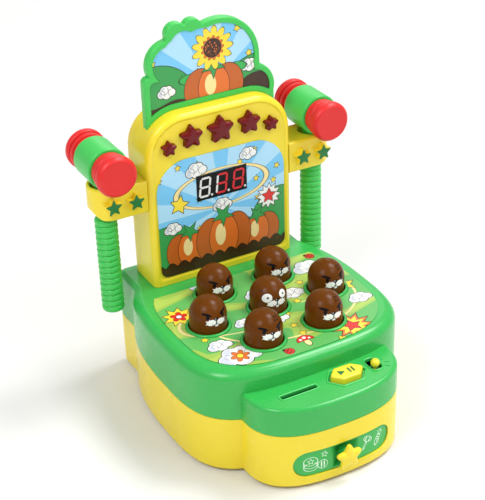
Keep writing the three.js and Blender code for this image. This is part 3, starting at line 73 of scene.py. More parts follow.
bl_info = {
    "name": "Mole pounding game",
    "version": (1, 0, 0),
    "blender": (4, 5, 0),
    "location": "3D View > Sidebar > Game",
    "description": "Builds a table-top mole pounding game piece by piece",
    "category": "Object",
}

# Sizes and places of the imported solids, in millimetres

CENTRE = (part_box("mole_centre")[0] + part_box("mole_centre")[1]) / 2 * 1000
FLOOR_HEIGHT = CAD_BOX[0][2]  # in metres, as the stage is
GAP = 0.3  # between pieces that are fixed together
SLIDE = 0.5  # round a piece that slides
OVER = 3.0  # how far a tool runs past what it cuts
WALL = 2.5
SQUARE = 0.01  # radius of a corner that looks square
QUARTER = np.linspace(0.0, math.pi / 2, 7)  # angles of a quarter round
SIDES = {"left": -1, "right": 1}

# Base: its levels, then the outlines of the body, the nose and the rear block

SEAM = 60.0
CONSOLE = 89.0
DECK = 110.0
BODY_HALF = 114.0
BODY_CENTRE_Y = 10.0
BODY_FRONT_REACH = 102.5
BODY_REAR_REACH = 150.0
BODY_FRONT = -120.0
BODY_ROUND = 10.0
NOSE_HALF = 78.0
NOSE_Y = -85.0
NOSE_REACH = 53.0
NOSE_FRONT = NOSE_Y - NOSE_REACH
NOSE_ROUND = 4.0
REAR_HALF = 95.0
REAR_FRONT = 40.0
REAR_BACK = 145.0
REAR_CORNER = 9.0
REAR_ROUND = 6.0
BODY_END = REAR_BACK - REAR_CORNER
FLOOR_TOP = 5.5
INSIDE_FOOT = 3.0
SHELL_SCREWS = ((-60, -60), (60, -60), (-88, 60), (88, 60))
SCREW_WELL = 3.6
BAY_HALF = 24.1
BAY_FRONT = 33.25
BAY_BACK = 90.75
BAY_TOP = 21.0
BAY_WALL = 2.0
DOOR_SCREW_Y = 29.25
SEAT_HALF = 60.0
SEAT_FRONT = 93.5
SEAT_BACK = 131.5
SUNK = 1.2  # how far a post or a seat runs into the wall that carries it
TOOL_LOW = 80.0  # where tools for the deck and the console start

# Moles, their rings and their springs

ACROSS = 65.0
ROW = 48.0
MOLES = {
    "mole_back_left": (-ACROSS / 2, ROW), "mole_back_right": (ACROSS / 2, ROW),
    "mole_middle_left": (-ACROSS, 0.0), "mole_centre": (0.0, 0.0), "mole_middle_right": (ACROSS, 0.0),
    "mole_front_left": (-ACROSS / 2, -ROW), "mole_front_right": (ACROSS / 2, -ROW),
}
MOLE_RADIUS = 18.0
MOLE_RISE = 14.7
MOLE_HOLE = 19.0
SPRING_WELL = 21.5
COLLAR_RADIUS = 21.9
COLLAR_RISE = 2.5
BOARD_TOP = 84.5
COIL_FOOT = BOARD_TOP
COIL_LENGTH = 20.0
COIL_RADIUS = 18.6
COIL_WIRE = 0.8
COIL_TURNS = 4.5

# Console and drawer

CONTROL_Y = -110.0
SLOT_X = -32.4
BUTTON_X = 18.3
BUTTON_RISE = 5.5
BUTTON_DEPTH = 12.5
SYMBOL_HALF = 3.6
KNOB_X = 49.0
KNOB_Y = -110.4
KNOB_BALL = 4.3
DRAWER_MIDDLE = 26.5
DRAWER_RADIUS = 13.2
DRAWER_HALF = 51.0
DRAWER_INSET = 1.2
SCOOP_Y = -135.5
SCOOP_FACE = NOSE_FRONT + DRAWER_INSET
SCOOP_HALF = 15.5
SCOOP_DEPTH = 9.5
PULL_PROUD = 9.5
PULL_RADIUS = 13.9

# Tower, display and star lenses; a lens is given by its X, its height over the foot and its radius

TOWER_HALF = 78.0
TOWER_FRONT = 87.0
TOWER_SPLIT = 120.0
TOWER_BACK = 138.0
TOWER_FOOT = 110.3
TOWER_TOP = TOWER_FOOT + 177.0
TOWER_CORNER = 40.0
FACE = TOWER_FRONT + 1.2
FACE_INSET = 6.1
DISPLAY_MIDDLE = TOWER_FOOT + 96.0
DISPLAY_HALF_WIDTH = 27.5
DISPLAY_HALF_HEIGHT = 13.5
DIGIT_HALF_WIDTH = 5.05
DIGIT_HALF_HEIGHT = 9.6
DIGIT_LEAN = 0.12
DIGIT_PITCH = 18.4
DIGIT_SHIFT = -0.15
POINT_SHIFT = 7.2
SEGMENTS = {
    "top": (0, 1, 0), "middle": (0, 0, 0), "foot": (0, -1, 0), "high_left": (-1, 0.5, 1),
    "high_right": (1, 0.5, 1), "low_left": (-1, -0.5, 1), "low_right": (1, -0.5, 1),
}
STAR_LENSES = {
    "star_lens_outer_left": (-55.2, 146.6, 7.9), "star_lens_inner_left": (-31.3, 153.3, 12.4),
    "star_lens_centre": (0.0, 153.4, 14.5), "star_lens_inner_right": (31.3, 153.3, 12.4),
    "star_lens_outer_right": (55.2, 146.6, 7.9),
}
FAT_STAR = 0.6  # radius of a star's valleys, as a share of its tips' radius
LENS_TIP = 0.17

# Sign; a lobe is given by its X, its height over the foot and its radius, as shares of SIGN_UNIT

SIGN_FRONT = 102.0
SIGN_BACK = 110.0
SIGN_UNIT = 69.0
SIGN_FOOT = TOWER_FOOT + 163.0
SIGN_LOBES = (
    (-0.594, 0.857, 0.348), (-0.478, 1.262, 0.159), (-0.232, 1.291, 0.145),
    (-0.377, 1.083, 0.29), (0.145, 0.738, 0.638), (0.652, 0.242, 0.362),
)
POCKET_LOBES = (
    (-0.594, 0.857, 0.348), (-0.475, 0.981, 0.305), (-0.377, 1.083, 0.29), (-0.116, 0.91, 0.452),
    (0.145, 0.738, 0.638), (0.652, 0.242, 0.362),
)
POCKET_DEPTH = 2.5
RIM = 5.5

# Arms and hammers

ARM_MIDDLE = TOWER_FOOT + 100.5
ARM_HALF = 16.5
ARM_Y = 110.0
ARM_RADIUS = 20.0
ARM_REACH = 131.0
ARM_STARS = {"near": 92.0, "far": 115.4}
TENON_Y = 103.5
TENON_HALF = 9.0
ARM_STAR_FRONT = 83.8
ARM_STAR_PLATE = 0.9
THIN_STAR = 0.5
HOLE_X = 115.0
HOLE_RADIUS = 12.5
HOLE_FLARE = 2.0
HAMMER_MIDDLE = ARM_MIDDLE + ARM_HALF + GAP + 21.0
SLEEVE_RADIUS = 20.45
SLEEVE_HALF = 18.0
SLEEVE_EDGE = 2.0
GRIP_TOP = -58.0
GRIP_LENGTH = 102.0
GRIP_RADIUS = 11.2
GRIP_RIBS = 16

# Printed pictures: the puffs of the playfield as X, Y and size, and the discs of a puff of size 1

PUFFS = (
    (-34, 70, 15), (2, 25, 13), (32, 9, 13), (-72, -36, 12), (72, 44, 17), (-3, -24, 11), (36, 66, 10),
    (-34, -14, 10), (84, -32, 12),
)
PUFF_DISCS = (
    (-0.62, -0.1, 0.42), (-0.25, 0.28, 0.45), (0.25, 0.3, 0.4), (0.62, -0.05, 0.4), (0, -0.2, 0.5),
)
PUFF_SHADE = (0.62, 0.66, 0.74)
PUFF_LINE = (0.3, 0.31, 0.36)
INK_SOFTNESS = 0.12  # half the width of the blurred edge of a printed form
STEEL = (0.62, 0.63, 0.65)

# Camera: its place in metres, and its axes

CAMERA_PLACE = (-0.53198, -0.95079, 0.78643)
CAMERA_RIGHT = (0.874460, -0.484266, -0.028386)
CAMERA_UP = (0.259544, 0.417629, 0.870760)
CAMERA_AHEAD = (0.409825, 0.768812, -0.490889)


def linear(red, green, blue):
    """Linear colour of an 8-bit screen colour."""
    share = np.array([red, green, blue]) / 255
    light = np.where(share <= 0.04045, share / 12.92, ((share + 0.055) / 1.055) ** 2.4)
    return tuple(float(value) for value in light)


def shade(tint, *share):
    """A colour times one number, or times a number for each of red, green and blue."""
    return tuple(np.array(tint[:]) * share)


# Settings


def length(name, description, millimetres):
    return bpy.props.FloatProperty(
        name=name, description=description, default=millimetres / 1000, min=0.0, subtype="DISTANCE",
        unit="LENGTH", precision=4,
    )


def colour(name, description, red, green, blue):
    return bpy.props.FloatVectorProperty(
        name=name, description=description, default=linear(red, green, blue), size=3, min=0.0, max=1.0,
        subtype="COLOR",
    )


class GameSizes(bpy.types.PropertyGroup):
    """Small sizes that finish the pieces without moving them."""

    seam_round: length("Seam rounding", "Rounding of the edges where the two base shells meet", 0.6)
    collar_round: length("Collar rounding", "Rounding of the raised rings round the moles", 1.3)
    bead_rise: length("Bead height", "Height of the beads round the console controls", 1.0)
    button_round: length("Button rounding", "Rounding of the play button's upper edge", 1.8)
    face_round: length("Face rounding", "Half width of the soft step round the tower face", 1.8)
    sign_round: length("Sign rounding", "Rounding of the sign's front edge", 1.6)
    rib_depth: length("Grip rib depth", "Depth of the grooves round the hammer grips", 1.6)
    segment_width: length("Segment width", "Width of the bars of a digit", 2.1)
    segment_proud: length("Segment height", "How far a digit's bars stand off the display", 0.15)


class GameColours(bpy.types.PropertyGroup):
    """Colours of the plastics and inks."""

    green: colour("Green", "Upper shell and drawer", 53, 179, 80)
    leaf_green: colour("Leaf green", "Sign frame and hammer handles", 64, 198, 86)
    dark_green: colour("Dark green", "Star faces on the arms", 16, 118, 50)
    yellow: colour("Yellow", "Lower shell, tower, arms and controls", 244, 220, 48)
    brown: colour("Brown", "Moles", 99, 52, 4)
    red: colour("Red", "Hammer caps", 224, 30, 30)
    lens: colour("Lens red", "Star lenses", 108, 9, 15)
    black: colour("Black", "Display and inks", 16, 16, 18)
    white: colour("White", "White ink", 245, 245, 242)
    sky: colour("Sky", "Printed sky", 120, 200, 246)
    pale_sky: colour("Pale sky", "Rays in the printed sky", 176, 224, 252)
    grass: colour("Grass", "Printed hills", 52, 158, 78)
    meadow: colour("Meadow", "Light patches of the playfield", 156, 194, 83)
    soil: colour("Soil", "Printed soil", 58, 30, 8)
    orange: colour("Orange", "Printed pumpkins", 226, 112, 34)
    cream: colour("Cream", "Printed highlights", 250, 226, 158)
    star: colour("Star yellow", "Printed stars and petals", 250, 222, 60)


# Shapes


class Shape:
    """Closed shells: points in millimetres, faces of four corners and faces of many corners."""

    def __init__(self, points, quads, caps=()):
        self.points = np.asarray(points, float).reshape(-1, 3)
        self.quads = np.asarray(quads, int).reshape(-1, 4)
        self.caps = [np.asarray(cap, int) for cap in caps]

    def __add__(self, other):
        shift = len(self.points)
        caps = self.caps + [cap + shift for cap in other.caps]
        points = np.vstack([self.points, other.points])
        return Shape(points, np.vstack([self.quads, other.quads + shift]), caps)

    def moved(self, x=0.0, y=0.0, z=0.0):
        return Shape(self.points + (x, y, z), self.quads, self.caps)

    def mirrored(self):
        """The same shape with left and right changed over and its faces turned back outwards."""
        return Shape(self.points * (-1, 1, 1), self.quads[:, ::-1], [cap[::-1] for cap in self.caps])

    def on(self, side):
        """The shape itself for side 1, and its mirror image for side -1."""
        return self if side > 0 else self.mirrored()


def added(shapes):
    total = shapes[0]
    for shape in shapes[1:]:
        total = total + shape
    return total


def grid(points, wrap_rows=False, wrap_columns=False):
    """Surface through a grid of points; a wrapped direction joins its end to its start."""
    rows, columns = points.shape[:2]
    index = np.arange(rows * columns).reshape(rows, columns)
    if wrap_rows:
        index = np.vstack([index, index[:1]])
    if wrap_columns:
        index = np.hstack([index, index[:, :1]])
    quads = np.stack([index[:-1, :-1], index[:-1, 1:], index[1:, 1:], index[1:, :-1]], axis=-1)
    return Shape(points, quads)


def stack(rings):
    """Solid carried through rings of points, with a flat face across its first and last ring."""
    shape = grid(rings, wrap_columns=True)
    count = rings.shape[1]
    last = (rings.shape[0] - 1) * count
    shape.caps = [np.arange(count)[::-1], last + np.arange(count)]
    return shape


def upright(plan, profile):
    """Solid of plan(inset) outlines in X and Y, one at each (inset, height) of the profile."""
    outlines = np.stack([plan(inset) for inset, height in profile])
    heights = np.array([height for inset, height in profile])[:, None, None]
    high = np.broadcast_to(heights, outlines.shape[:2] + (1,))
    return stack(np.concatenate([outlines, high], axis=2))


def facing(plan, profile):
    """Solid of plan(inset) outlines in X and Z, one at each (inset, depth) of the profile."""
    shape = upright(plan, profile)
    shape.points = shape.points[:, [0, 2, 1]]
    return shape


def slab(outline, z0, z1):
    """Solid of one outline in X and Y."""
    return upright(lambda inset: outline, [(0, z0), (0, z1)])


def plate(outline, y0, y1):
    """Solid of one outline in X and Z."""
    return facing(lambda inset: outline, [(0, y0), (0, y1)])


def lathe(profile, count=64, along="z"):
    """Profile of (radius, place) pairs turned about the Z or the Y axis: r cos a, r sin a, place."""
    radius, place = np.array(profile, float).T
    angle = np.linspace(0.0, 2 * math.pi, count, endpoint=False)
    across = radius[:, None] * np.cos(angle)
    beside = radius[:, None] * np.sin(angle)
    on_axis = np.broadcast_to(place[:, None], across.shape)
    order = (across, beside, on_axis) if along == "z" else (across, on_axis, beside)
    return grid(np.stack(order, axis=-1), wrap_columns=True)


def block(x0, x1, y0, y1, z0, z1):
    return slab(np.array([(x0, y0), (x1, y0), (x1, y1), (x0, y1)], float), z0, z1)


def rod(radius, z0, z1, x, y, count=64):
    return lathe([(0, z0), (radius, z0), (radius, z1), (0, z1)], count).moved(x, y)


def rod_back(radius, y0, y1, x, z, count=48):
    return lathe([(0, y0), (radius, y0), (radius, y1), (0, y1)], count, "y").moved(x, 0, z)


# Outlines, as arrays of points


def even(points, count):
    """A closed outline with its points set an equal way apart along it."""
    loop = np.vstack([points, points[:1]])
    run = np.concatenate([[0.0], np.cumsum(np.linalg.norm(np.diff(loop, axis=0), axis=1))])
    at = np.linspace(0.0, run[-1], count, endpoint=False)
    return np.stack([np.interp(at, run, loop[:, 0]), np.interp(at, run, loop[:, 1])], axis=1)


def oval(half_width, centre_y, front, rear, front_power, rear_power, count=176):
    """Squarish oval |x/a|^n + |y/b|^n = 1, whose b and n differ ahead of and behind its centre."""
    angle = np.linspace(0.0, 2 * math.pi, 4096, endpoint=False)
    cosine, sine = np.cos(angle), np.sin(angle)
    reach = np.where(sine < 0, front, rear)
    power = 2 / np.where(sine < 0, front_power, rear_power)
    x = half_width * np.sign(cosine) * np.abs(cosine) ** power
    y = centre_y + reach * np.sign(sine) * np.abs(sine) ** power
    return even(np.stack([x, y], axis=1), count)


def rounded(corners, radii, steps=8):
    """Polygon whose corners are arcs: each arc touches both sides, and turns from one to the next."""
    corners = np.asarray(corners, float)
    radii = np.broadcast_to(np.asarray(radii, float), len(corners))
    before = np.roll(corners, 1, axis=0) - corners
    after = np.roll(corners, -1, axis=0) - corners
    before /= np.linalg.norm(before, axis=1)[:, None]
    after /= np.linalg.norm(after, axis=1)[:, None]
    half = np.arccos(np.clip((before * after).sum(axis=1), -1, 1)) / 2
    middle = before + after
    middle /= np.linalg.norm(middle, axis=1)[:, None]
    centre = corners + middle * (radii / np.sin(half))[:, None]
    start = corners + before * (radii / np.tan(half))[:, None] - centre
    end = corners + after * (radii / np.tan(half))[:, None] - centre
    turn = math.pi - 2 * half
    share = np.linspace(0.0, 1.0, steps + 1)[None, :, None]
    wide = np.maximum(np.sin(turn), 1e-9)[:, None, None]
    from_start = np.sin((1 - share) * turn[:, None, None]) / wide * start[:, None]
    to_end = np.sin(share * turn[:, None, None]) / wide * end[:, None]
    return (centre[:, None] + from_start + to_end).reshape(-1, 2)


def rectangle(x0, x1, y0, y1, low_radius, high_radius, steps=8):
    corners = [(x0, y0), (x1, y0), (x1, y1), (x0, y1)]
    return rounded(corners, [low_radius, low_radius, high_radius, high_radius], steps)


def body_plan(inset):
    front = BODY_FRONT_REACH - inset
    return oval(BODY_HALF - inset, BODY_CENTRE_Y, front, BODY_REAR_REACH - inset, 3.6, 2.4)


def nose_plan(inset):
    reach = NOSE_REACH - inset
    return oval(NOSE_HALF - inset, NOSE_Y, reach, reach, 2.62, 2.62, 144)


def rear_plan(inset):
    half = REAR_HALF - inset
    return rectangle(-half, half, REAR_FRONT, REAR_BACK - inset, SQUARE, REAR_CORNER - inset / 2)


def tower_plan(inset, foot=TOWER_FOOT):
    half = TOWER_HALF - inset
    return rectangle(-half, half, foot, TOWER_TOP - inset, SQUARE, TOWER_CORNER - inset, 14)


def star_plan(radius, valley_share, x=0.0, y=0.0, tip=0.1, valley=0.08):
    """Five-pointed star whose rounded tips reach the radius; tip and valley are shares of it too.

    An arc of radius t at a corner of half angle h stops t (1 / sin h - 1) short of the corner.
    """
    step = math.pi / 5
    half = math.atan2(valley_share * math.sin(step), 1 - valley_share * math.cos(step))
    whole = radius / (1 - tip * (1 / math.sin(half) - 1))
    angle = math.pi / 2 + np.arange(10) * step
    outer = np.arange(10) % 2 == 0
    reach = np.where(outer, whole, radius * valley_share)
    corners = np.stack([x + reach * np.cos(angle), y + reach * np.sin(angle)], axis=1)
    return rounded(corners, radius * np.where(outer, tip, valley), 4)


def circle(radius, x, y):
    angle = np.linspace(0.0, 2 * math.pi, 72, endpoint=False)
    return np.stack([x + radius * np.cos(angle), y + radius * np.sin(angle)], axis=1)


def hexagon(margin):
    """Plan of the play button, with a margin all round."""
    long, deep, shoulder = 17.6 + margin, 9.4 + margin, 9.0 + margin / 2
    corners = np.array([
        (long, 0), (shoulder, deep), (-shoulder, deep),
        (-long, 0), (-shoulder, -deep), (shoulder, -deep),
    ])
    return rounded(corners + (BUTTON_X, CONTROL_Y), 2.0)


def upper_round(radius, top, inset=0.0):
    """Quarter round from a side up to a top: inset r(1 - cos a), height top - r(1 - sin a)."""
    return [(inset + radius * (1 - math.cos(a)), top - radius * (1 - math.sin(a))) for a in QUARTER]


def lower_round(radius, foot):
    """Quarter round from a foot up to a side."""
    return [(inset, 2 * foot - height) for inset, height in upper_round(radius, foot)[::-1]]


def front_round(radius, front, inset=0.0):
    """Quarter round from a front face back to a side, front first."""
    return [(step, -depth) for step, depth in upper_round(radius, -front, inset)[::-1]]


# Meshes


def linked(piece):
    """The object, put into the scene."""
    bpy.context.scene.collection.objects.link(piece)
    return piece


def discard(piece):
    mesh = piece.data
    bpy.data.objects.remove(piece)
    bpy.data.meshes.remove(mesh)


def solid(name, shape):
    """Object for a shape, its doubles merged and its faces turned outwards."""
    mesh = bpy.data.meshes.new(name)
    points = (shape.points + (0.0, CENTRE.y, 0.0)) / 1000
    mesh.from_pydata(points.tolist(), [], shape.quads.tolist() + [cap.tolist() for cap in shape.caps])
    work = bmesh.new()
    work.from_mesh(mesh)
    bmesh.ops.remove_doubles(work, verts=work.verts, dist=2e-6)
    bmesh.ops.recalc_face_normals(work, faces=work.faces)
    work.to_mesh(mesh)
    work.free()
    return linked(bpy.data.objects.new(name, mesh))


def settle(piece):
    """Put the piece's modifiers into its mesh."""
    graph = bpy.context.evaluated_depsgraph_get()
    made = bpy.data.meshes.new_from_object(piece.evaluated_get(graph))
    old = piece.data
    piece.modifiers.clear()
    piece.data = made
    bpy.data.meshes.remove(old)


def carve(piece, operation, tools):
    """Join, cut or keep the overlap with each tool in turn; a tool is a shape or a piece."""
    for tool in tools:
        other = solid("tool", tool) if isinstance(tool, Shape) else tool
        change = piece.modifiers.new("carve", "BOOLEAN")
        change.solver = "MANIFOLD"
        change.operation = operation
        change.object = other
        settle(piece)
        discard(other)
        if not piece.data.polygons:
            raise RuntimeError(f"nothing is left of {piece.name}")
    return piece


def joined(piece, *tools):
    return carve(piece, "UNION", tools)


def cut(piece, *tools):
    return carve(piece, "DIFFERENCE", tools)


def kept(piece, *tools):
    return carve(piece, "INTERSECT", tools)


def finished(piece, body, material, nodes=(), angle=34.0):
    """Smooth the piece between its sharp edges, and give it its material and its body."""
    piece.data.polygons.foreach_set("use_smooth", [True] * len(piece.data.polygons))
    piece.data.set_sharp_from_angle(angle=math.radians(angle))
    even_shading = piece.modifiers.new("even shading", "WEIGHTED_NORMAL")
    even_shading.keep_sharp = True
    settle(piece)
    piece.data.name = piece.name
    piece.data.materials.clear()
    piece.data.materials.append(material)
    if nodes:
        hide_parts(*nodes)
    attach(piece, body)
    return piece


def repaint(material, *nodes):
    """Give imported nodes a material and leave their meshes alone."""
    for node in nodes:
        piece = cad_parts[node]
        if not piece.material_slots:
            piece.data.materials.append(material)
        for slot in piece.material_slots:
            slot.material = material


# Shader nodes


class Wire:
    """A node's output that adds Math nodes where it is used in an expression."""

    def __init__(self, paint, socket):
        self.paint = paint
        self.socket = socket

    def __add__(self, other):
        return self.paint.math("ADD", self, other)

    __radd__ = __add__

    def __mul__(self, other):
        return self.paint.math("MULTIPLY", self, other)

    __rmul__ = __mul__

    def __sub__(self, other):
        return self.paint.math("SUBTRACT", self, other)

    def __rsub__(self, other):
        return self.paint.math("SUBTRACT", other, self)

    def __truediv__(self, other):
        return self.paint.math("DIVIDE", self, other)

    def __rtruediv__(self, other):
        return self.paint.math("DIVIDE", other, self)

    def __abs__(self):
        return self.paint.math("ABSOLUTE", self)


class Paint:
    """A material and the nodes that colour it. Constants of the shader are set on its sockets."""

    def __init__(self, name, **constants):
        self.material = bpy.data.materials.new(name)
        self.material.use_nodes = True
        self.tree = self.material.node_tree
        self.tree.nodes.clear()
        self.shader = self.tree.nodes.new("ShaderNodeBsdfPrincipled")
        output = self.tree.nodes.new("ShaderNodeOutputMaterial")
        self.tree.links.new(self.shader.outputs[0], output.inputs["Surface"])
        for word, value in constants.items():
            socket = word.replace("_", " ").title().replace("Ior", "IOR")
            self.shader.inputs[socket].default_value = value
        self.place = self.node("TexCoord", {}, {}, "Object")

    def node(self, kind, settings, sockets, output=0):
        """Add a node: its settings first, then a value or a link for each of its sockets."""
        made = self.tree.nodes.new("ShaderNode" + kind)
        for word, value in settings.items():
            setattr(made, word, value)
        for key, value in sockets.items():
            if isinstance(value, Wire):
                self.tree.links.new(value.socket, made.inputs[key])
            else:
                made.inputs[key].default_value = value
        return Wire(self, made.outputs[output])

    def math(self, operation, *values):
        return self.node("Math", {"operation": operation}, dict(enumerate(values)))

    def vector(self, operation, first, second, output=0):
        return self.node("VectorMath", {"operation": operation}, {0: first, 1: second}, output)

    def mix(self, mask, under, over):
        """Colour between two others; the mask is 0 for the first and 1 for the second."""
        colours = (under, over)
        under, over = (one if isinstance(one, Wire) else (*one[:3], 1.0) for one in colours)
        return self.node("Mix", {"data_type": "RGBA"}, {0: mask, 6: under, 7: over}, 2)

    def noise(self, scale, detail=2.0, place=None):
        sockets = {"Vector": place or self.place, "Scale": scale, "Detail": detail, "Roughness": 0.5}
        return self.node("TexNoise", {}, sockets)

    def cells(self, output, scale, feature="F1", **sockets):
        """Voronoi cells over the object."""
        sockets = {"Vector": self.place, "Scale": scale, **sockets}
        return self.node("TexVoronoi", {"feature": feature}, sockets, output)

    def bump(self, height, strength, distance=0.0002):
        sockets = {"Height": height, "Strength": strength, "Distance": distance}
        self.link("Normal", self.node("Bump", {}, sockets))

    def link(self, word, value):
        self.tree.links.new(value.socket, self.shader.inputs[word])

    def parts(self, place):
        """The three coordinates of a place."""
        split = self.node("SeparateXYZ", {}, {0: place})
        return [Wire(self, output) for output in split.socket.node.outputs]

    def axes(self):
        """Places in millimetres about the middle mole's axis, as three wires."""
        x, y, z = (part * 1000 for part in self.parts(self.place))
        return x, y - CENTRE.y, z


def least(*wires):
    """Smallest of the wires: the distance from all their forms together."""
    return reduce(lambda one, other: one.paint.math("MINIMUM", one, other), wires)


def most(*wires):
    """Largest of the wires: the distance from what their forms share."""
    return reduce(lambda one, other: one.paint.math("MAXIMUM", one, other), wires)


def within(distance):
    """Mask that is 1 where the distance is below zero."""
    return distance.paint.node("Clamp", {}, {0: 0.5 - distance / (2 * INK_SOFTNESS)})


class Plane:
    """Places on a flat picture, in millimetres, and distances there: below zero inside a form."""

    def __init__(self, paint, place):
        self.paint = paint
        self.place = place

    def far(self, x, y):
        """Distance from a point."""
        return self.paint.vector("DISTANCE", self.place, (x, y, 0.0), "Value")

    def moved(self, x, y):
        """The same plane about a point of it."""
        return Plane(self.paint, self.paint.vector("SUBTRACT", self.place, (x, y, 0.0)))

    def turned(self, x, y, degrees):
        """The same plane about a point of it, turned."""
        sockets = {"Vector": self.moved(x, y).place, "Angle": math.radians(degrees)}
        return Plane(self.paint, self.paint.node("VectorRotate", {"rotation_type": "Z_AXIS"}, sockets))

    def reach(self):
        return self.paint.vector("LENGTH", self.place, (0.0, 0.0, 0.0), "Value")

    def angle(self):
        x, y, z = self.paint.parts(self.place)
        return self.paint.math("ARCTAN2", y, x)

    def disc(self, x, y, radius):
        return self.far(x, y) - radius

    def ellipse(self, x, y, wide, high):
        """Roughly the distance from an ellipse: its scaled radius less one, times its smaller reach."""
        scaled = Plane(self.paint, self.paint.vector("MULTIPLY", self.place, (1 / wide, 1 / high, 0.0)))
        return (scaled.far(x / wide, y / high) - 1) * min(wide, high)

    def spikes(self, radius, valley, count):
        """Distance from a star of straight sides: r cos(t - f) - R cos f, t the angle from a tip."""
        step = math.pi / count
        lean = math.atan2(radius - valley * math.cos(step), valley * math.sin(step))
        around = self.angle() + (step - math.pi / 2 + 4 * math.pi)
        from_tip = abs(self.paint.math("MODULO", around, 2 * step) - step)
        return self.reach() * self.paint.math("COSINE", from_tip - lean) - radius * math.cos(lean)

    def star(self, x, y, radius, degrees=0.0, share=0.5, count=5):
        return self.turned(x, y, degrees).spikes(radius, radius * share, count)

    def petals(self, x, y, radius, depth, count):
        """Distance from a flower: r less R + d |cos(n a / 2)|."""
        around = self.moved(x, y)
        wave = abs(self.paint.math("COSINE", around.angle() * (count / 2)))
        return around.reach() - wave * depth - radius


class Picture(Plane):
    """A flat picture, painted form over form in the colours of the settings."""

    def __init__(self, paint, across, up, tints, colour):
        super().__init__(paint, paint.node("CombineXYZ", {}, {0: across, 1: up}))
        self.tints = tints
        self.colour = colour

    def cover(self, mask, tint):
        self.colour = self.paint.mix(mask, self.colour, tint)

    def fill(self, distance, tint):
        self.cover(within(distance), tint)

    def ink(self, distance, tint, line=0.55):
        """Paint a form with a black line round it."""
        self.fill(distance - line, self.tints.black)
        self.fill(distance, tint)

    def rays(self, x, y, count):
        """Pale rays from one point."""
        wave = self.paint.math("SINE", self.moved(x, y).angle() * count)
        self.fill((0.0 - wave) * 3, self.tints.pale_sky)

    def scatter(self, scale, radius, share, seed):
        """Small outlined stars, one in some of the cells of a jittered grid."""
        node, vector = self.paint.node, self.paint.vector
        settings = {"voronoi_dimensions": "2D", "feature": "F1"}
        shrunk = vector("MULTIPLY", self.place, (1 / scale, 1 / scale, 0.0))
        scaled = vector("ADD", shrunk, (seed, seed, 0.0))
        sockets = {"Vector": scaled, "Scale": 1.0, "Randomness": 0.75}
        cell = node("TexVoronoi", settings, sockets, "Position")
        lot = node("TexVoronoi", settings, sockets, "Color")
        moved = vector("MULTIPLY", vector("SUBTRACT", scaled, cell), (scale, scale, 0.0))
        chosen = node("SeparateColor", {}, {0: lot})
        sockets = {"Vector": moved, "Angle": chosen * 2}
        tilted = Plane(self.paint, node("VectorRotate", {"rotation_type": "Z_AXIS"}, sockets))
        distance = tilted.spikes(radius, radius * 0.52, 5)
        shown = self.paint.math("GREATER_THAN", chosen, 1 - share)
        self.cover(within(distance - 0.5) * shown, self.tints.black)
        self.cover(within(distance) * shown, self.tints.star)

    def puff(self, x, y, size):
        """Puff of five discs, outlined, grey along its lower rim, with arcs where its discs meet."""
        rounds = [self.disc(x + dx * size, y + dy * size, r * size) for dx, dy, r in PUFF_DISCS]
        whole = least(*rounds)
        self.ink(whole, self.tints.white, 0.8)
        lit = least(*(
            self.disc(x + (dx - 0.06) * size, y + (dy + 0.13) * size, r * size)
            for dx, dy, r in PUFF_DISCS[2:]
        ))
        self.fill(most(whole + 0.8, lit * -1), PUFF_SHADE)
        arcs = least(*(abs(rounds[k]) for k in (0, 1, 3))) - 0.36
        self.fill(most(arcs, whole + size * 0.14), PUFF_LINE)

    def toadstool(self, x, y, size):
        """Toadstool: a cream stem under the upper half of an ellipse with three dots on it."""
        self.ink(self.ellipse(x, y - size * 0.45, size * 0.34, size * 0.62), self.tints.cream)
        above = self.far(x, y - size * 9) * -1 + size * 9
        self.ink(most(self.ellipse(x, y, size, size * 0.9), above), self.tints.red)
        dots = least(*(
            self.disc(x + across * size, y + up * size, share * size)
            for across, up, share in ((-0.5, 0.3, 0.17), (0.05, 0.5, 0.22), (0.55, 0.24, 0.15))
        ))
        self.fill(dots, self.tints.white)

    def beetle(self, x, y, size):
        """Red beetle: a black head behind a spotted disc that a line divides."""
        self.fill(self.disc(x - size * 0.7, y + size * 0.7, size * 0.5), self.tints.black)
        self.ink(self.disc(x, y, size), self.tints.red)
        line = self.turned(x, y, -45).ellipse(0, 0, 0.35, size * 4)
        spots = least(most(line, self.disc(x, y, size)), *(
            self.disc(x + across * size, y + up * size, 0.2 * size)
            for across, up in ((0.0, 0.6), (0.55, 0.15), (-0.6, 0.0), (-0.15, -0.55))
        ))
        self.fill(spots, self.tints.black)

    def pumpkin(self, x, y, wide, high):
        """Ribbed pumpkin: side lobes, a middle lobe with a cream highlight, and a star of leaves."""
        dark = shade(self.tints.orange, 0.72)
        self.ink(self.ellipse(x - wide * 0.5, y, wide * 0.55, high), dark)
        self.ink(self.ellipse(x + wide * 0.5, y, wide * 0.55, high), dark)
        self.ink(self.ellipse(x, y, wide * 0.55, high * 1.05), self.tints.orange)
        shine = self.ellipse(x - wide * 0.12, y + high * 0.15, wide * 0.2, high * 0.5)
        self.fill(shine, self.tints.cream)
        self.ink(self.star(x, y + high * 1.02, wide * 0.42, 180, 0.4), self.tints.grass)

    def printed(self):
        """Material of a printed sheet: its inks under a smooth film with faint ripples."""
        self.paint.link("Base Color", self.colour)
        ripple = self.paint.noise(240.0)
        self.paint.link("Roughness", 0.4 + (ripple - 0.5) * 0.12)
        self.paint.bump(ripple, 0.03)
        return self.paint.material


# Materials


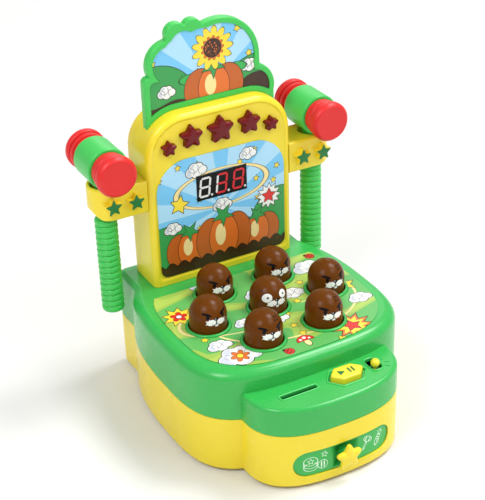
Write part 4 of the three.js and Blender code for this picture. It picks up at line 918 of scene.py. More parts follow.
def moulded(name, tint, roughness=0.26, tone=0.06, grain=0.05, **constants):
    """Moulded plastic: slow changes of tone, and a fine skin in its roughness and bump."""
    paint = Paint(name, **constants)
    slow = paint.noise(9.0, 3.0)
    fine = paint.noise(1700.0)
    flow = paint.noise(60.0)
    paint.link("Base Color", paint.mix(slow, shade(tint, 1 - tone), shade(tint, 1 + tone)))
    paint.link("Roughness", roughness + (fine - 0.5) * 0.1 + (flow - 0.5) * 0.07)
    paint.bump(fine + flow * 0.5, grain)
    return paint.material


def rubbed(name, tint, roughness=0.35, metal=1.0):
    """Metal or rubber with short scratches."""
    paint = Paint(name, metallic=metal)
    stretched = paint.vector("MULTIPLY", paint.place, (1.0, 14.0, 14.0))
    lines = paint.noise(90.0, 3.0, stretched)
    light = np.minimum(shade(tint, 1.1), 1.0)
    paint.link("Base Color", paint.mix(lines, shade(tint, 0.85), light))
    paint.link("Roughness", roughness + (lines - 0.5) * 0.25)
    paint.bump(paint.noise(900.0, 4.0), 0.08, 0.0003)
    return paint.material


def playfield_print(tints):
    """Meadow of wavy patches with stars, puffs, bursts, flowers, toadstools and beetles."""
    paint = Paint("playfield_print", coat_weight=0.15)
    x, y, z = paint.axes()
    picture = Picture(paint, x, y, tints, shade(tints.grass, 3.3, 1.38, 1.4))
    ellipse, star = picture.ellipse, picture.star
    sway = paint.math("SINE", x * 0.05 + paint.math("SINE", y * 0.06) * 1.6)
    bands = paint.math("SINE", (y + sway * 14) * 0.11)
    picture.fill((0.25 - bands) * 4, tints.meadow)
    picture.fill((0.8 - bands) * 4, shade(tints.meadow, 1.3, 1.12, 1.2))
    trails = least(
        most(abs(ellipse(10, -8, 78, 52)) - 0.8, y + 12),
        most(abs(ellipse(-8, 4, 84, 34)) - 0.6, x + 30),
        most(abs(ellipse(30, 20, 52, 30)) - 0.6, 30 - x),
    )
    picture.fill(trails, tints.cream)
    picture.scatter(22.0, 3.9, 0.4, 3.3)
    for puff in PUFFS:
        picture.puff(*puff)
    picture.ink(star(50, -70, 21.0, 9, 0.6, 11), tints.orange, 0.8)
    picture.fill(star(50, -70, 16.0, 9, 0.6, 11), tints.star)
    picture.ink(star(50, -70, 9.0, 6), tints.red, 0.7)
    picture.puff(-64, -60, 21)
    picture.ink(picture.petals(-64, -60, 4.6, 4.4, 6), tints.orange, 0.7)
    picture.ink(picture.disc(-64, -60, 3.0), tints.star)
    picture.ink(star(-82, 28, 16, 20, 0.6, 9), tints.star, 0.7)
    picture.ink(picture.petals(-82, 28, 4.2, 4.0, 5), tints.red)
    picture.ink(picture.disc(-82, 28, 2.6), tints.white)
    picture.ink(star(84, -4, 11, 5), tints.star, 0.7)
    picture.toadstool(0, -69, 8.5)
    picture.toadstool(76, 20, 7.0)
    picture.beetle(-22, -77, 4.6)
    picture.beetle(84, 62, 4.6)
    return picture.printed()


def panel_print(tints):
    """Garden bed under a bright sky: pumpkins in dark soil, a ring, puffs, stars and a burst."""
    paint = Paint("panel_print", coat_weight=0.15)
    x, y, z = paint.axes()
    up = z - TOWER_FOOT
    picture = Picture(paint, x, up, tints, tints.sky)
    ellipse, star = picture.ellipse, picture.star
    picture.rays(0, 70, 11)
    picture.scatter(21.0, 3.2, 0.4, 7.7)
    picture.ink(abs(ellipse(0, 92, 50, 20)) - 1.0, tints.cream, 0.35)
    picture.ink(least(ellipse(-62, 30, 36, 34), ellipse(64, 36, 34, 40)), tints.grass)
    for puff in ((-27, 116, 11), (30, 120, 9), (0, 72, 10), (-55, 60, 9)):
        picture.puff(*puff)
    picture.ink(star(52, 68, 13.5, 4, 0.66, 12), tints.white, 0.7)
    picture.ink(star(52, 68, 8.0, 4), tints.red)
    picture.ink(star(-47, 84, 10, 14), tints.star, 0.7)
    for pumpkin in ((-37, 33, 25, 19), (38, 32, 24, 18), (0, 36, 29, 24)):
        picture.pumpkin(*pumpkin)
    scallop = abs(paint.math("SINE", x * 0.24)) * 4.5
    soil = up - scallop - 17.5
    picture.ink(soil, tints.soil, 0.8)
    crumbs = paint.noise(420.0, 3.0)
    picture.cover(within(soil + 2) * within((0.6 - crumbs) * 8), shade(tints.soil, 1.9))
    return picture.printed()


def sign_print(tints):
    """Sunflower over a pumpkin on a hill."""
    paint = Paint("sign_print", coat_weight=0.15)
    x, y, z = paint.axes()
    up = z - SIGN_FOOT
    picture = Picture(paint, x, up, tints, tints.sky)
    ellipse = picture.ellipse
    picture.rays(4, 30, 9)
    picture.scatter(17.0, 3.6, 0.7, 1.9)
    picture.ink(least(ellipse(-58, 22, 42, 38), ellipse(56, 24, 40, 28)), tints.grass, 0.7)
    hollows = up - 20 - paint.math("SINE", x * 0.13) * 2.5
    picture.ink(least(hollows, ellipse(52, 20, 20, 12)), tints.soil, 0.7)
    picture.puff(-46, 32, 9)
    picture.puff(43, 41, 9)
    picture.ink(least(ellipse(-20, 40, 12, 5), ellipse(27, 42, 12, 5)), tints.green)
    picture.pumpkin(4, 27, 30, 21)
    picture.ink(picture.petals(4, 66, 15, 6.5, 13), tints.star, 0.8)
    picture.ink(picture.petals(4, 66, 9, 3, 13), tints.orange, 0.4)
    picture.ink(picture.disc(4, 66, 9), tints.soil)
    seeds = paint.cells("Distance", 420.0)
    picture.cover(within(picture.disc(4, 66, 8)) * within((seeds - 0.3) * 4), tints.orange)
    return picture.printed()


def coin_drawing(flat):
    """Lines of a stack of coins and of a coin that stands beside it."""
    x, top = -35, 1.6
    clear = flat.ellipse(x, 9, 14, 10) * -1
    rims = [most(abs(flat.ellipse(x, top - drop, 6.6, 4.6)), clear) for drop in (3.0, 6.0)]
    return least(
        *rims, abs(flat.ellipse(x, top, 6.6, 4.6)), abs(flat.star(x, top, 3.0)),
        most(abs(flat.ellipse(x, -1.4, 6.6, 40.0)), abs(flat.disc(x, -1.4, 5)) - 2.2),
        abs(flat.disc(-23.2, -4.2, 4.8)),
        *(flat.ellipse(-23.2 + step, -4.2, 0.4, 2.6) for step in (-1.4, 1.4)),
    )


def tool_drawing(flat):
    """Lines of a mallet and of a carrot, both leaning."""
    mallet = flat.turned(24.0, 2.5, 28)
    head = abs(mallet.ellipse(0, 2.6, 4.8, 2.9))
    bands = most(
        least(mallet.ellipse(-2.2, 2.6, 0.3, 9), mallet.ellipse(2.2, 2.6, 0.3, 9)),
        mallet.ellipse(0, 2.6, 4.8, 2.9),
    )
    handle = abs(mallet.ellipse(0, -4.4, 0.9, 3.9))
    carrot = flat.turned(37.5, 0.0, 24)
    root = carrot.ellipse(0, -1.6, 2.5, 5.6)
    rings = least(*(carrot.ellipse(1.2 - step, step * 1.6 - 2, 1.4, 0.28) for step in (-1, 0.4, 1.8)))
    leaves = abs(carrot.star(0, 6.2, 3.1))
    return least(head, bands, handle, abs(root), most(root, rings), leaves)


def drawer_print(tints):
    """Green plastic with line drawings in white: coins, a small star, a mallet and a carrot."""
    paint = Paint("drawer_plastic")
    x, y, z = paint.axes()
    flat = Plane(paint, paint.node("CombineXYZ", {}, {0: x, 1: z - DRAWER_MIDDLE}))
    lines = least(coin_drawing(flat), tool_drawing(flat), abs(flat.star(-21.5, 6.6, 3.1, 12)))
    mask = within(lines - 0.26)
    fine = paint.noise(1700.0)
    under = paint.mix(paint.noise(9.0, 3.0), shade(tints.green, 0.95), shade(tints.green, 1.05))
    paint.link("Base Color", paint.mix(mask, under, shade(tints.white, 0.8, 0.98, 0.84)))
    paint.link("Roughness", 0.34 + (fine - 0.5) * 0.1 + mask * 0.1)
    paint.bump(fine * 0.4 + mask, 0.05)
    return paint.material


def mole_skin(name, tints, mark=False, wide_eyes=False):
    """Glossy brown with a printed face, read from the face_place attribute in millimetres."""
    paint = Paint(name, specular_ior_level=0.14)
    place = paint.node("Attribute", {"attribute_name": "face_place"}, {}, "Vector")
    across, up, ahead = paint.parts(place)
    slow = paint.noise(26.0, 3.0)
    plain = paint.mix(slow, shade(tints.brown, 0.88), shade(tints.brown, 1.15))
    face = Picture(paint, across, up, tints, plain)
    ellipse, disc, star = face.ellipse, face.disc, face.star
    lobes = least(ellipse(-4.3, -6.2, 4.9, 2.9), ellipse(3.9, -6.5, 4.6, 2.9))
    tufts = least(star(-7.4, -5.6, 3.4, 20, 0.45), star(6.9, -6.2, 3.4, -20, 0.45))
    face.fill(least(lobes, tufts), (1.0, 1.0, 1.0))
    face.ink(most(abs(across + 0.2) - 1.5, abs(up + 9.4) - 1.3), tints.white, 0.3)
    mouth = least(
        most(abs(across + 0.2) - 0.3, abs(up + 6.8) - 2.0),
        abs(disc(-2.4, -6.9, 2.2)) + most(up + 7.6, 0.0),
    )
    face.fill(mouth - 0.25, tints.black)
    nose = ellipse(-0.3, -3.5, 2.3, 1.5)
    if wide_eyes:
        for x, y, radius in ((-9.0, 0.2, 4.3), (6.8, 0.9, 4.0)):
            face.ink(disc(x, y, radius), tints.white, 0.35)
            face.fill(disc(x + 0.4, y, 1.0), tints.black)
        face.fill(star(-11.2, 7.4, 2.6, 15, 0.12, 6), tints.black)
        face.fill(nose, tints.black)
    else:
        brows_and_eyes = least(
            face.turned(-8.2, 2.3, 28).ellipse(0, 0, 4.4, 1.25),
            face.turned(8.0, 2.2, -24).ellipse(0, 0, 4.4, 1.25),
            ellipse(-7.9, -0.8, 1.6, 1.9), ellipse(7.2, -0.9, 1.6, 1.9),
        )
        face.fill(least(nose, brows_and_eyes), tints.black)
    if mark:
        face.fill(abs(star(6.8, 8.4, 3.1, 45, 0.45, 4)) - 0.3, tints.black)
    face.fill(disc(-0.9, -3.1, 0.45), tints.white)
    paint.link("Base Color", paint.mix(within(4.0 - ahead), plain, face.colour))
    fine = paint.noise(1500.0)
    paint.link("Roughness", 0.26 + (fine - 0.5) * 0.08 + (slow - 0.5) * 0.05)
    paint.bump(fine, 0.012)
    return paint.material


def circuit_board(tints):
    """Green board with pale tracks between small cells, and solder dots."""
    paint = Paint("circuit_board")
    edge = paint.cells("Distance", 190.0, "DISTANCE_TO_EDGE", Randomness=0.6)
    dot = paint.cells("Distance", 190.0, Randomness=0.6)
    dark, light = shade(tints.dark_green, 0.7), shade(tints.dark_green, 1.5)
    tracks = paint.mix(within((edge - 0.06) * 8), dark, light)
    paint.link("Base Color", paint.mix(within((dot - 0.14) * 8), tracks, (0.6, 0.6, 0.56)))
    paint.link("Roughness", 0.45 + paint.noise(600.0) * 0.2)
    return paint.material


def battery_wrap(tints):
    """Shrunk sleeve of a cell: dark green with a cream band round one end."""
    paint = Paint("battery_wrap", coat_weight=0.3)
    x, y, z = paint.axes()
    tone = paint.noise(80.0, 3.0)
    wrap = paint.mix(tone, shade(tints.dark_green, 0.9), shade(tints.dark_green, 1.2))
    paint.link("Base Color", paint.mix(within(abs(y - 62.0) - 14.0), tints.cream, wrap))
    paint.link("Roughness", 0.3 + tone * 0.15)
    return paint.material


# Pieces of the base


def shell_outside(name, profile_of):
    """Body, nose and rear block joined; each one's profile comes from its edge radius and its top."""
    body = kept(
        solid(name, upright(body_plan, profile_of(BODY_ROUND, DECK))),
        block(-BODY_HALF - OVER, BODY_HALF + OVER, BODY_FRONT, BODY_END, -OVER, DECK + OVER),
    )
    nose = upright(nose_plan, profile_of(NOSE_ROUND, CONSOLE))
    rear = upright(rear_plan, profile_of(REAR_ROUND, DECK))
    return joined(body, nose, rear)


def shell_inside(z0, z1, nose_top):
    """The hollows of the body, the nose and the rear block, as three tools."""
    def hollow(radius, top):
        return [(WALL, z0), *upper_round(radius - WALL, top, WALL)]

    body = kept(
        solid("hollow", upright(body_plan, hollow(BODY_ROUND, z1))),
        block(-BODY_HALF, BODY_HALF, BODY_FRONT, BODY_END - WALL, z0 - OVER, z1 + OVER),
    )
    nose = upright(nose_plan, hollow(NOSE_ROUND, nose_top))
    return body, nose, upright(rear_plan, hollow(REAR_ROUND, z1))


def drawer_plan(margin):
    radius = DRAWER_RADIUS + margin
    half = DRAWER_HALF + margin
    low, high = DRAWER_MIDDLE - radius, DRAWER_MIDDLE + radius
    return rectangle(-half, half, low, high, radius - 0.01, radius - 0.01, 16)


def make_lower_shell(sizes, tints):
    foot = [(2.0, 3.0), (1.0, 3.35), (0.35, 4.0), (0, 5.0)]
    side = foot + upper_round(sizes.seam_round * 1000, SEAM - GAP / 2)
    shell = shell_outside("lower_shell_skin", lambda radius, top: side)
    cut(shell, *shell_inside(FLOOR_TOP, SEAM + OVER, SEAM + OVER))
    rails = [block(x - 2, x + 2, -116, -34, 4.25, 15.2) for x in (-36, 36)]
    half = BAY_HALF + BAY_WALL
    bay = block(
        -half, half, BAY_FRONT - BAY_WALL, BAY_BACK + BAY_WALL, INSIDE_FOOT, BAY_TOP + BAY_WALL,
    )
    boss = rod(5, INSIDE_FOOT, 12.5, 0, DOOR_SCREW_Y)
    joined(shell, *rails, bay, boss)
    room = block(-BAY_HALF, BAY_HALF, BAY_FRONT, BAY_BACK, 0, BAY_TOP)
    tongue = block(-8, 8, BAY_FRONT - 8, BAY_FRONT + 3, 0, FLOOR_TOP)
    screw_hole = rod(1.9, 0, 11.25, 0, DOOR_SCREW_Y)
    opening = plate(drawer_plan(SLIDE), NOSE_FRONT - OVER, -116.5)
    wells = added([rod(SCREW_WELL, 0, 5.0, x, y, 32) for x, y in SHELL_SCREWS])
    cut(shell, room, tongue, screw_hole, opening, wells)
    yellow = moulded("yellow_plastic_base", tints.yellow)
    finished(shell, "base", yellow, ["lower_shell"])
    heads = solid("shell_screw_heads", added([screw_head(x, y) for x, y in SHELL_SCREWS]))
    finished(heads, "base", rubbed("screw_steel", STEEL))


def screw_head(x, y):
    """Pan head that faces down, with a round socket in it."""
    profile = [(0, 5.4), (3.0, 5.4), (3.0, 4.6), (2.5, 4.1), (1.4, 3.9), (1.3, 4.4), (0, 4.5)]
    return lathe(profile, 24).moved(x, y)


def collar(x, y, edge):
    """Raised ring: straight inside, rounded over its top, with a tube down to the spring."""
    arc = np.linspace(0.0, math.pi / 2, 6)
    top, low, lip, tube = DECK + COLLAR_RISE, DECK - WALL, 0.6, 23.1
    over = [(COLLAR_RADIUS - edge + edge * math.cos(a), top - edge + edge * math.sin(a)) for a in arc]
    inside = [(MOLE_HOLE + lip - lip * math.sin(a), top - lip + lip * math.cos(a)) for a in arc]
    outside = [(0, low - 19), (tube, low - 19), (tube, low + 1), (COLLAR_RADIUS, low + 1)]
    return lathe([*outside, *over, *inside, (MOLE_HOLE, DECK), (0, DECK)], 72).moved(x, y)


def slot_plan(margin):
    long, wide = 18.5 + margin, 2.5 + margin
    low, high = CONTROL_Y - wide, CONTROL_Y + wide
    return rectangle(SLOT_X - long, SLOT_X + long, low, high, wide / 2, wide / 2)


def knob_slot(margin):
    """Slot of the power knob with well rounded corners."""
    x0, x1 = KNOB_X - 5.4 - margin, KNOB_X + 5.4 + margin
    y0, y1 = KNOB_Y - 6 - margin, KNOB_Y + 12 + margin
    radius = 3.6 + margin
    return rectangle(x0, x1, y0, y1, radius, radius, 8)


def bead(plan, outer, inner, rise):
    """Low rounded ridge round an opening, as a closed ring swept along its plan."""
    middle = (outer + inner) / 2
    half = (outer - inner) / 2
    angle = np.linspace(0.0, 2 * math.pi, 12, endpoint=False)
    rings = [plan(middle + half * math.cos(a)) for a in angle]
    heights = CONSOLE + rise * np.sin(angle)
    levels = zip(rings, heights)
    points = np.stack([np.column_stack([ring, np.full(len(ring), h)]) for ring, h in levels])
    return grid(points, wrap_rows=True, wrap_columns=True)


def make_upper_shell(sizes, tints):
    start = lower_round(sizes.seam_round * 1000, SEAM + GAP / 2)
    shell = shell_outside("upper_shell_skin", lambda radius, top: start + upper_round(radius, top))
    cut(shell, *shell_inside(SEAM - OVER, DECK - WALL, CONSOLE - WALL))
    spots = MOLES.values()
    edge = sizes.collar_round * 1000
    joined(shell, added([collar(x, y, edge) for x, y in spots]))
    cut(shell, added([rod(MOLE_HOLE, TOOL_LOW, DECK + 2 * OVER, x, y, 72) for x, y in spots]))
    cut(shell, added([rod(SPRING_WELL, TOOL_LOW, DECK - WALL, x, y, 72) for x, y in spots]))
    above = CONSOLE + OVER
    openings = [slab(plan, TOOL_LOW, above) for plan in (hexagon(0.5), slot_plan(0), knob_slot(0))]
    cut(shell, slab(hexagon(2.6), CONSOLE - 0.9, above), *openings)
    half, inner = SEAT_HALF, SEAT_HALF - WALL
    seat = solid("seat", block(-half, half, SEAT_FRONT, SEAT_BACK, DECK - SUNK, DECK + 8))
    cut(seat, block(-inner, inner, SEAT_FRONT + WALL, SEAT_BACK - WALL, DECK, DECK + 12))
    wire_hole = block(-10, 10, 102.5, 122.5, DECK - 2 * OVER, DECK + OVER)
    cut(joined(shell, seat), wire_hole)
    posts = [rod(3, BOARD_TOP, DECK - SUNK, x, y, 24) for x in (-80, 80) for y in (-60, 60)]
    posts += [
        rod(2, 77.8, CONSOLE - SUNK, x, y, 24) for x in (-5.2, 57.5) for y in (-113.2, -100.8)
    ]
    joined(shell, added(posts))
    green = moulded("green_plastic_base", tints.green)
    finished(shell, "base", green, ["upper_shell"])


def ray_mark(step):
    """Small raised stroke to the right of the power knob, one of a fan."""
    turn = math.radians(35 * step - 10)
    along = np.array([math.cos(turn), math.sin(turn)])
    side = np.array([-along[1], along[0]]) * 0.5
    start = np.array([KNOB_X + 3.0, KNOB_Y + 2.0]) + along * 8.6
    end = start + along * 3.6
    plan = rounded([start - side, end - side, end + side, start + side], 0.49, 4)
    return slab(plan, CONSOLE - 0.4, CONSOLE + 0.7)


def make_beads(sizes, tints):
    rise = sizes.bead_rise * 1000
    rings = [
        bead(slot_plan, 1.9, 0.05, rise),
        bead(hexagon, 4.6, 2.7, rise),
        bead(knob_slot, 1.8, 0.05, rise),
    ]
    marks = [ray_mark(step) for step in range(-1, 3)]
    # The beads and ray marks take a paler copy of the shell green: a painted highlight along their raised
    # ridges.
    highlit_green = np.minimum(shade(tints.green, 1.7, 1.25, 1.5), 1.0)
    green = moulded("green_plastic_beads_painted_highlight", highlit_green, 0.3)
    finished(solid("console_beads", added(rings + marks)), "base", green)


def make_playfield(sizes, tints):
    def plan(inset):
        return oval(99 - inset, 6.0, 90.0 - inset, 92.0 - inset, 3.2, 3.2)

    low = DECK + GAP
    sheet = solid("playfield_sheet", upright(plan, [(0, low), (0, low + 0.35), (0.15, low + 0.5)]))
    kept(sheet, block(-BODY_HALF, BODY_HALF, BODY_FRONT, 70, low - OVER, low + OVER))
    hole = COLLAR_RADIUS + GAP
    cut(sheet, added([rod(hole, low - OVER, low + OVER, x, y, 72) for x, y in MOLES.values()]))
    finished(sheet, "base", playfield_print(tints), ["playfield_decal"])


# Moles


def mole_shape(x, y):
    """Hollow dome on a short cylinder, with a foot flange and a middle stem."""
    outer, inner, stem, flange = MOLE_RADIUS, MOLE_RADIUS - 2.2, 3, 21
    stem_foot, flange_foot, flange_top = -12.7, -5.2, -2.8
    lean = math.asin(stem / inner)
    hollow = np.linspace(lean, math.pi / 2, 8)
    inside = [(inner * math.sin(a), MOLE_RISE + inner * math.cos(a)) for a in hollow]
    foot = [(inner, flange_foot), (flange, flange_foot), (flange, flange_top)]
    sides = [(outer, height) for height in np.linspace(-1, MOLE_RISE - 1.5, 6)]
    arc = np.linspace(0, math.pi / 2, 20)
    dome = [(outer * math.cos(a), MOLE_RISE + outer * math.sin(a)) for a in arc]
    profile = [(0, stem_foot), (stem, stem_foot), *inside, *foot, (18.6, flange_top), (outer, -2.2)]
    return lathe([*profile, *sides, *dome], 72).moved(x, y, DECK)


def mark_face(piece, x, y):
    """Store each point's place as seen from ahead and a little above: right, up and forward."""
    count = len(piece.data.vertices)
    points = np.empty(count * 3, np.float32)
    piece.data.vertices.foreach_get("co", points)
    local = points.reshape(-1, 3) * 1000 - (x, y + CENTRE.y, DECK + MOLE_RISE)
    tilt = math.radians(20)
    ahead = np.array([0, -math.cos(tilt), math.sin(tilt)])
    up = np.array([0, math.sin(tilt), math.cos(tilt)])
    seen = np.stack([local[:, 0], local @ up, local @ ahead], axis=1)
    face = piece.data.attributes.new("face_place", "FLOAT_VECTOR", "POINT")
    face.data.foreach_set("vector", seen.astype(np.float32).ravel())


def make_moles(sizes, tints):
    frown = mole_skin("mole_frown", tints)
    cross = mole_skin("mole_cross", tints, mark=True)
    wide = mole_skin("mole_wide", tints, wide_eyes=True)
    skins = {
        "mole_centre": wide, "mole_middle_right": cross,
        "mole_front_left": cross, "mole_front_right": cross,
    }
    for name, (x, y) in MOLES.items():
        piece = solid(name + "_dome", mole_shape(x, y))
        finished(piece, name, skins.get(name, frown), [name])
        mark_face(piece, x, y)


def coil_shape(x, y):
    """Wire round a helix: turn a, radius R + r cos b, height h(a) + r sin b, h flatter at the ends."""
    share = np.linspace(0.0, 1.0, int(COIL_TURNS * 32) + 1)[:, None]
    turn = share * COIL_TURNS * 2 * math.pi
    section = np.linspace(0.0, 2 * math.pi, 8, endpoint=False)[None, :]
    climb = COIL_LENGTH - 2 * COIL_WIRE
    height = COIL_FOOT + COIL_WIRE + climb * (share - 0.09 * np.sin(2 * math.pi * share))
    reach = COIL_RADIUS + COIL_WIRE * np.cos(section)
    points = [reach * np.cos(turn), reach * np.sin(turn), height + COIL_WIRE * np.sin(section)]
    return stack(np.stack(points, axis=-1)).moved(x, y)


def make_springs(sizes, tints):
    steel = rubbed("spring_steel", (0.6, 0.61, 0.63), 0.3)
    for name, (x, y) in MOLES.items():
        node = name.replace("mole", "spring")
        coil = solid(node + "_coil", coil_shape(x, y))
        finished(coil, "base", steel, [node])
        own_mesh(coil)


# Console


def make_console(sizes, tints):
    yellow = moulded("yellow_plastic_controls", tints.yellow, 0.32)
    under = CONSOLE - WALL - GAP
    top = CONSOLE + BUTTON_RISE
    side = [(0, top - BUTTON_DEPTH), *upper_round(sizes.button_round * 1000, top)]
    cap = solid("play_button_cap", upright(lambda inset: hexagon(-inset), side))
    joined(cap, slab(hexagon(1.5), under - 2.5, under))
    finished(cap, "play_button", yellow, ["play_button"])
    play = rounded([(-8.6, -SYMBOL_HALF), (-1.8, 0.0), (-8.6, SYMBOL_HALF)], 0.5, 3)
    pause = [rectangle(x, x + 1.9, -SYMBOL_HALF, SYMBOL_HALF, 0.3, 0.3, 3) for x in (1.6, 5.4)]
    bars = [slab(plan + (BUTTON_X, CONTROL_Y), top - 0.4, top + 0.2) for plan in (play, *pause)]
    symbol = solid("play_button_symbol", added(bars))
    green = moulded("green_plastic_symbol", tints.dark_green, 0.4)
    finished(symbol, "play_button", green)
    arc = np.linspace(-1.214, math.pi / 2, 18)  # from where the ball meets its stem
    ball = [(KNOB_BALL * math.cos(a), CONSOLE + 3.4 + KNOB_BALL * math.sin(a)) for a in arc]
    knob = lathe([(0, under), (1.5, under), *ball], 48).moved(KNOB_X, KNOB_Y)
    finished(solid("power_knob_ball", knob), "power_knob", yellow, ["power_knob"])
    low = under - 2.2
    slider = [(0, 81.3), (1.5, 81.3), (1.5, low), (6, low), (6, under), (0, under)]
    dark = moulded("green_plastic_slider", shade(tints.green, 0.2, 0.32, 0.3), 0.5)
    disc = solid("power_knob_slider", lathe(slider, 48).moved(KNOB_X, KNOB_Y))
    finished(disc, "power_knob", dark)
    make_beads(sizes, tints)


# Drawer


def pillow_star(radius, valley_share, x, z, front, back, rise, tip, power=2.0):
    """Star with a swollen face: outlines scaled by (cos a)^(2/n) stand r (sin a)^(2/n) proud."""
    outline = star_plan(1.0, valley_share, 0, 0, tip) * radius
    face = [
        (math.cos(a) ** (2 / power) * 0.95 + 0.05, front + rise * (1 - math.sin(a) ** (2 / power)))
        for a in np.linspace(0.12, 1.5, 10)[::-1]
    ]
    return facing(lambda share: outline * share + (x, z), [*face, (1.0, front + rise), (1.0, back)])


def scoop_plan(inset):
    """Plan of the finger scoop: a dish d (1 + cos(pi x / w)) / 2 deep, that runs out softly."""
    across = np.linspace(SCOOP_HALF - inset, inset - SCOOP_HALF, 41)
    deep = (SCOOP_DEPTH - inset) * (1 + np.cos(math.pi * across / (SCOOP_HALF - inset))) / 2
    dish = np.column_stack([across, SCOOP_FACE + deep])
    half, front = SCOOP_HALF - inset, SCOOP_FACE - 9
    return np.vstack([dish, [(-half, front), (half, front)]])


def make_drawer(sizes, tints):
    low, high = DRAWER_MIDDLE - DRAWER_RADIUS, DRAWER_MIDDLE + DRAWER_RADIUS
    front = slab(nose_plan(DRAWER_INSET), low - OVER, high + OVER)
    face = solid("drawer_face", front)
    cut(face, slab(nose_plan(DRAWER_INSET + WALL), low - 2 * OVER, high + 2 * OVER))
    thick = kept(solid("thick", front), block(-29, 29, NOSE_FRONT, SCOOP_Y + 6, low, high))
    cup = kept(
        solid("cup", rod(19, low + SLIDE, high - SLIDE, 0, SCOOP_Y)),
        block(-NOSE_HALF, NOSE_HALF, NOSE_FRONT + 2.45, NOSE_Y, low, high),
    )
    joined(face, thick, cup)
    kept(face, plate(drawer_plan(0), NOSE_FRONT - OVER, NOSE_Y))
    lip = [(1.4, 1.6), (0.4, 2.0), (0, 3.0)]
    lips = [(inset, low + up) for inset, up in lip] + [(inset, high - up) for inset, up in lip[::-1]]
    cut(face, upright(scoop_plan, lips))
    finished(face, "coin_drawer", drawer_print(tints), ["drawer_front"])
    front = NOSE_FRONT - PULL_PROUD
    star = pillow_star(PULL_RADIUS, FAT_STAR, 0, DRAWER_MIDDLE, front, front + 5, 3.0, 0.18)
    yellow = moulded("yellow_plastic_star", tints.yellow, 0.32)
    pull = solid("drawer_star", star)
    finished(pull, "coin_drawer", yellow, ["star_pull"], 50)
    stem = solid("drawer_star_stem", rod_back(4, front + 4.6, SCOOP_Y + 16.6, 0, DRAWER_MIDDLE))
    green = moulded("green_plastic_stem", tints.green, 0.4)
    finished(stem, "coin_drawer", green)
    repaint(yellow, "drawer_tray")
    dark = moulded("chute_plastic", shade(tints.green, 0.2, 0.32, 0.3), 0.5)
    repaint(dark, "coin_chute")


# Tower


def face_plan(inset):
    """Outline of the tower's recessed face."""
    half = TOWER_HALF - inset
    foot, top = TOWER_FOOT + 0.5 + inset, TOWER_TOP - inset
    return rectangle(-half, half, foot, top, 5, TOWER_CORNER - inset, 14)


def soft_step(half):
    """Step down into the recess, front first: insets about its line, depths d (1 - cos a) / 2."""
    insets = FACE_INSET + half * np.linspace(-1.0, 1.0, 9)
    share = (1 - np.cos(np.linspace(0.0, math.pi, 9))) / 2
    depths = TOWER_FRONT + (FACE - TOWER_FRONT) * share
    return [(insets[0], TOWER_FRONT - OVER), *zip(insets, depths)]


def tower_hollow(profile):
    """Hollow of a tower shell, open at its foot."""
    return facing(lambda inset: tower_plan(inset, TOWER_FOOT - OVER), profile)


def display_window(y0, y1):
    half, high = DISPLAY_HALF_WIDTH + GAP, DISPLAY_HALF_HEIGHT + GAP
    return block(-half, half, y0, y1, DISPLAY_MIDDLE - high, DISPLAY_MIDDLE + high)


def tenon(x0, x1, margin=0.0):
    """Square tenon of the right arm, or its hole where it has a margin."""
    half = TENON_HALF + margin
    return block(x0, x1, TENON_Y - half, TENON_Y + half, ARM_MIDDLE - half, ARM_MIDDLE + half)


def sign_tab(margin=0.0):
    """Right tab of the sign, or its hole in the tower's top where it has a margin."""
    low = TOWER_TOP - 6 - margin
    return block(20 - margin, 32 + margin, 103.7 - margin, 108.3 + margin, low, TOWER_TOP + OVER)


def make_tower(sizes, tints):
    side = [*front_round(6, TOWER_FRONT), (0, TOWER_SPLIT - GAP / 2)]
    shell = solid("tower_front_skin", facing(tower_plan, side))
    cut(shell, tower_hollow([*front_round(3.5, FACE + WALL, WALL), (WALL, TOWER_SPLIT + OVER)]))
    cut(shell, facing(face_plan, soft_step(sizes.face_round * 1000)))
    stars = [
        star_plan(radius + 0.4, FAT_STAR, x, TOWER_FOOT + rise, LENS_TIP)
        for x, rise, radius in STAR_LENSES.values()
    ]
    cut(shell, added([plate(star, TOWER_FRONT - OVER, FACE + WALL + OVER) for star in stars]))
    window = display_window(TOWER_FRONT - OVER, FACE + 2 * OVER)
    tenon_hole, tab_hole = tenon(73, 84, GAP), sign_tab(GAP)
    cut(shell, window, tenon_hole.mirrored(), tenon_hole, tab_hole.mirrored(), tab_hole)
    posts = [rod_back(3, 89.5, 100.8, x, TOWER_FOOT + rise) for x in (-50, 50) for rise in (76, 122)]
    joined(shell, added(posts))
    yellow = moulded("yellow_plastic_tower", tints.yellow, 0.3)
    finished(shell, "base", yellow, ["tower_front_shell"])
    make_tower_back(yellow)


def make_tower_back(yellow):
    side = [(0, TOWER_SPLIT + GAP / 2), *upper_round(10, TOWER_BACK)]
    back = solid("tower_back_skin", facing(tower_plan, side))
    cut(back, tower_hollow([(WALL, TOWER_SPLIT - OVER), *upper_round(7.5, TOWER_BACK - WALL, WALL)]))
    rows = [TOWER_FOOT + 60 + 6 * row for row in range(-2, 3)]
    slots = [rectangle(-14, 14, z - 1.3, z + 1.3, 1.29, 1.29) for z in rows]
    cut(back, added([plate(slot, TOWER_BACK - 6, TOWER_BACK + OVER) for slot in slots]))
    screws = [(x, TOWER_FOOT + rise) for x in (-62, 62) for rise in (18, 128)]
    well = TOWER_BACK - 1.6
    cut(back, added([rod_back(SCREW_WELL, well, TOWER_BACK + OVER, x, z, 32) for x, z in screws]))
    finished(back, "base", yellow, ["tower_back_shell"])
    head = [(0, 0), (3.0, 0), (3.0, 0.7), (2.5, 1.2), (1.4, 1.4), (1.3, 0.9), (0, 0.8)]
    heads = added([lathe(head, 24, "y").moved(x, well, z) for x, z in screws])
    steel = rubbed("back_screw_steel", STEEL)
    finished(solid("tower_screw_heads", heads), "base", steel)


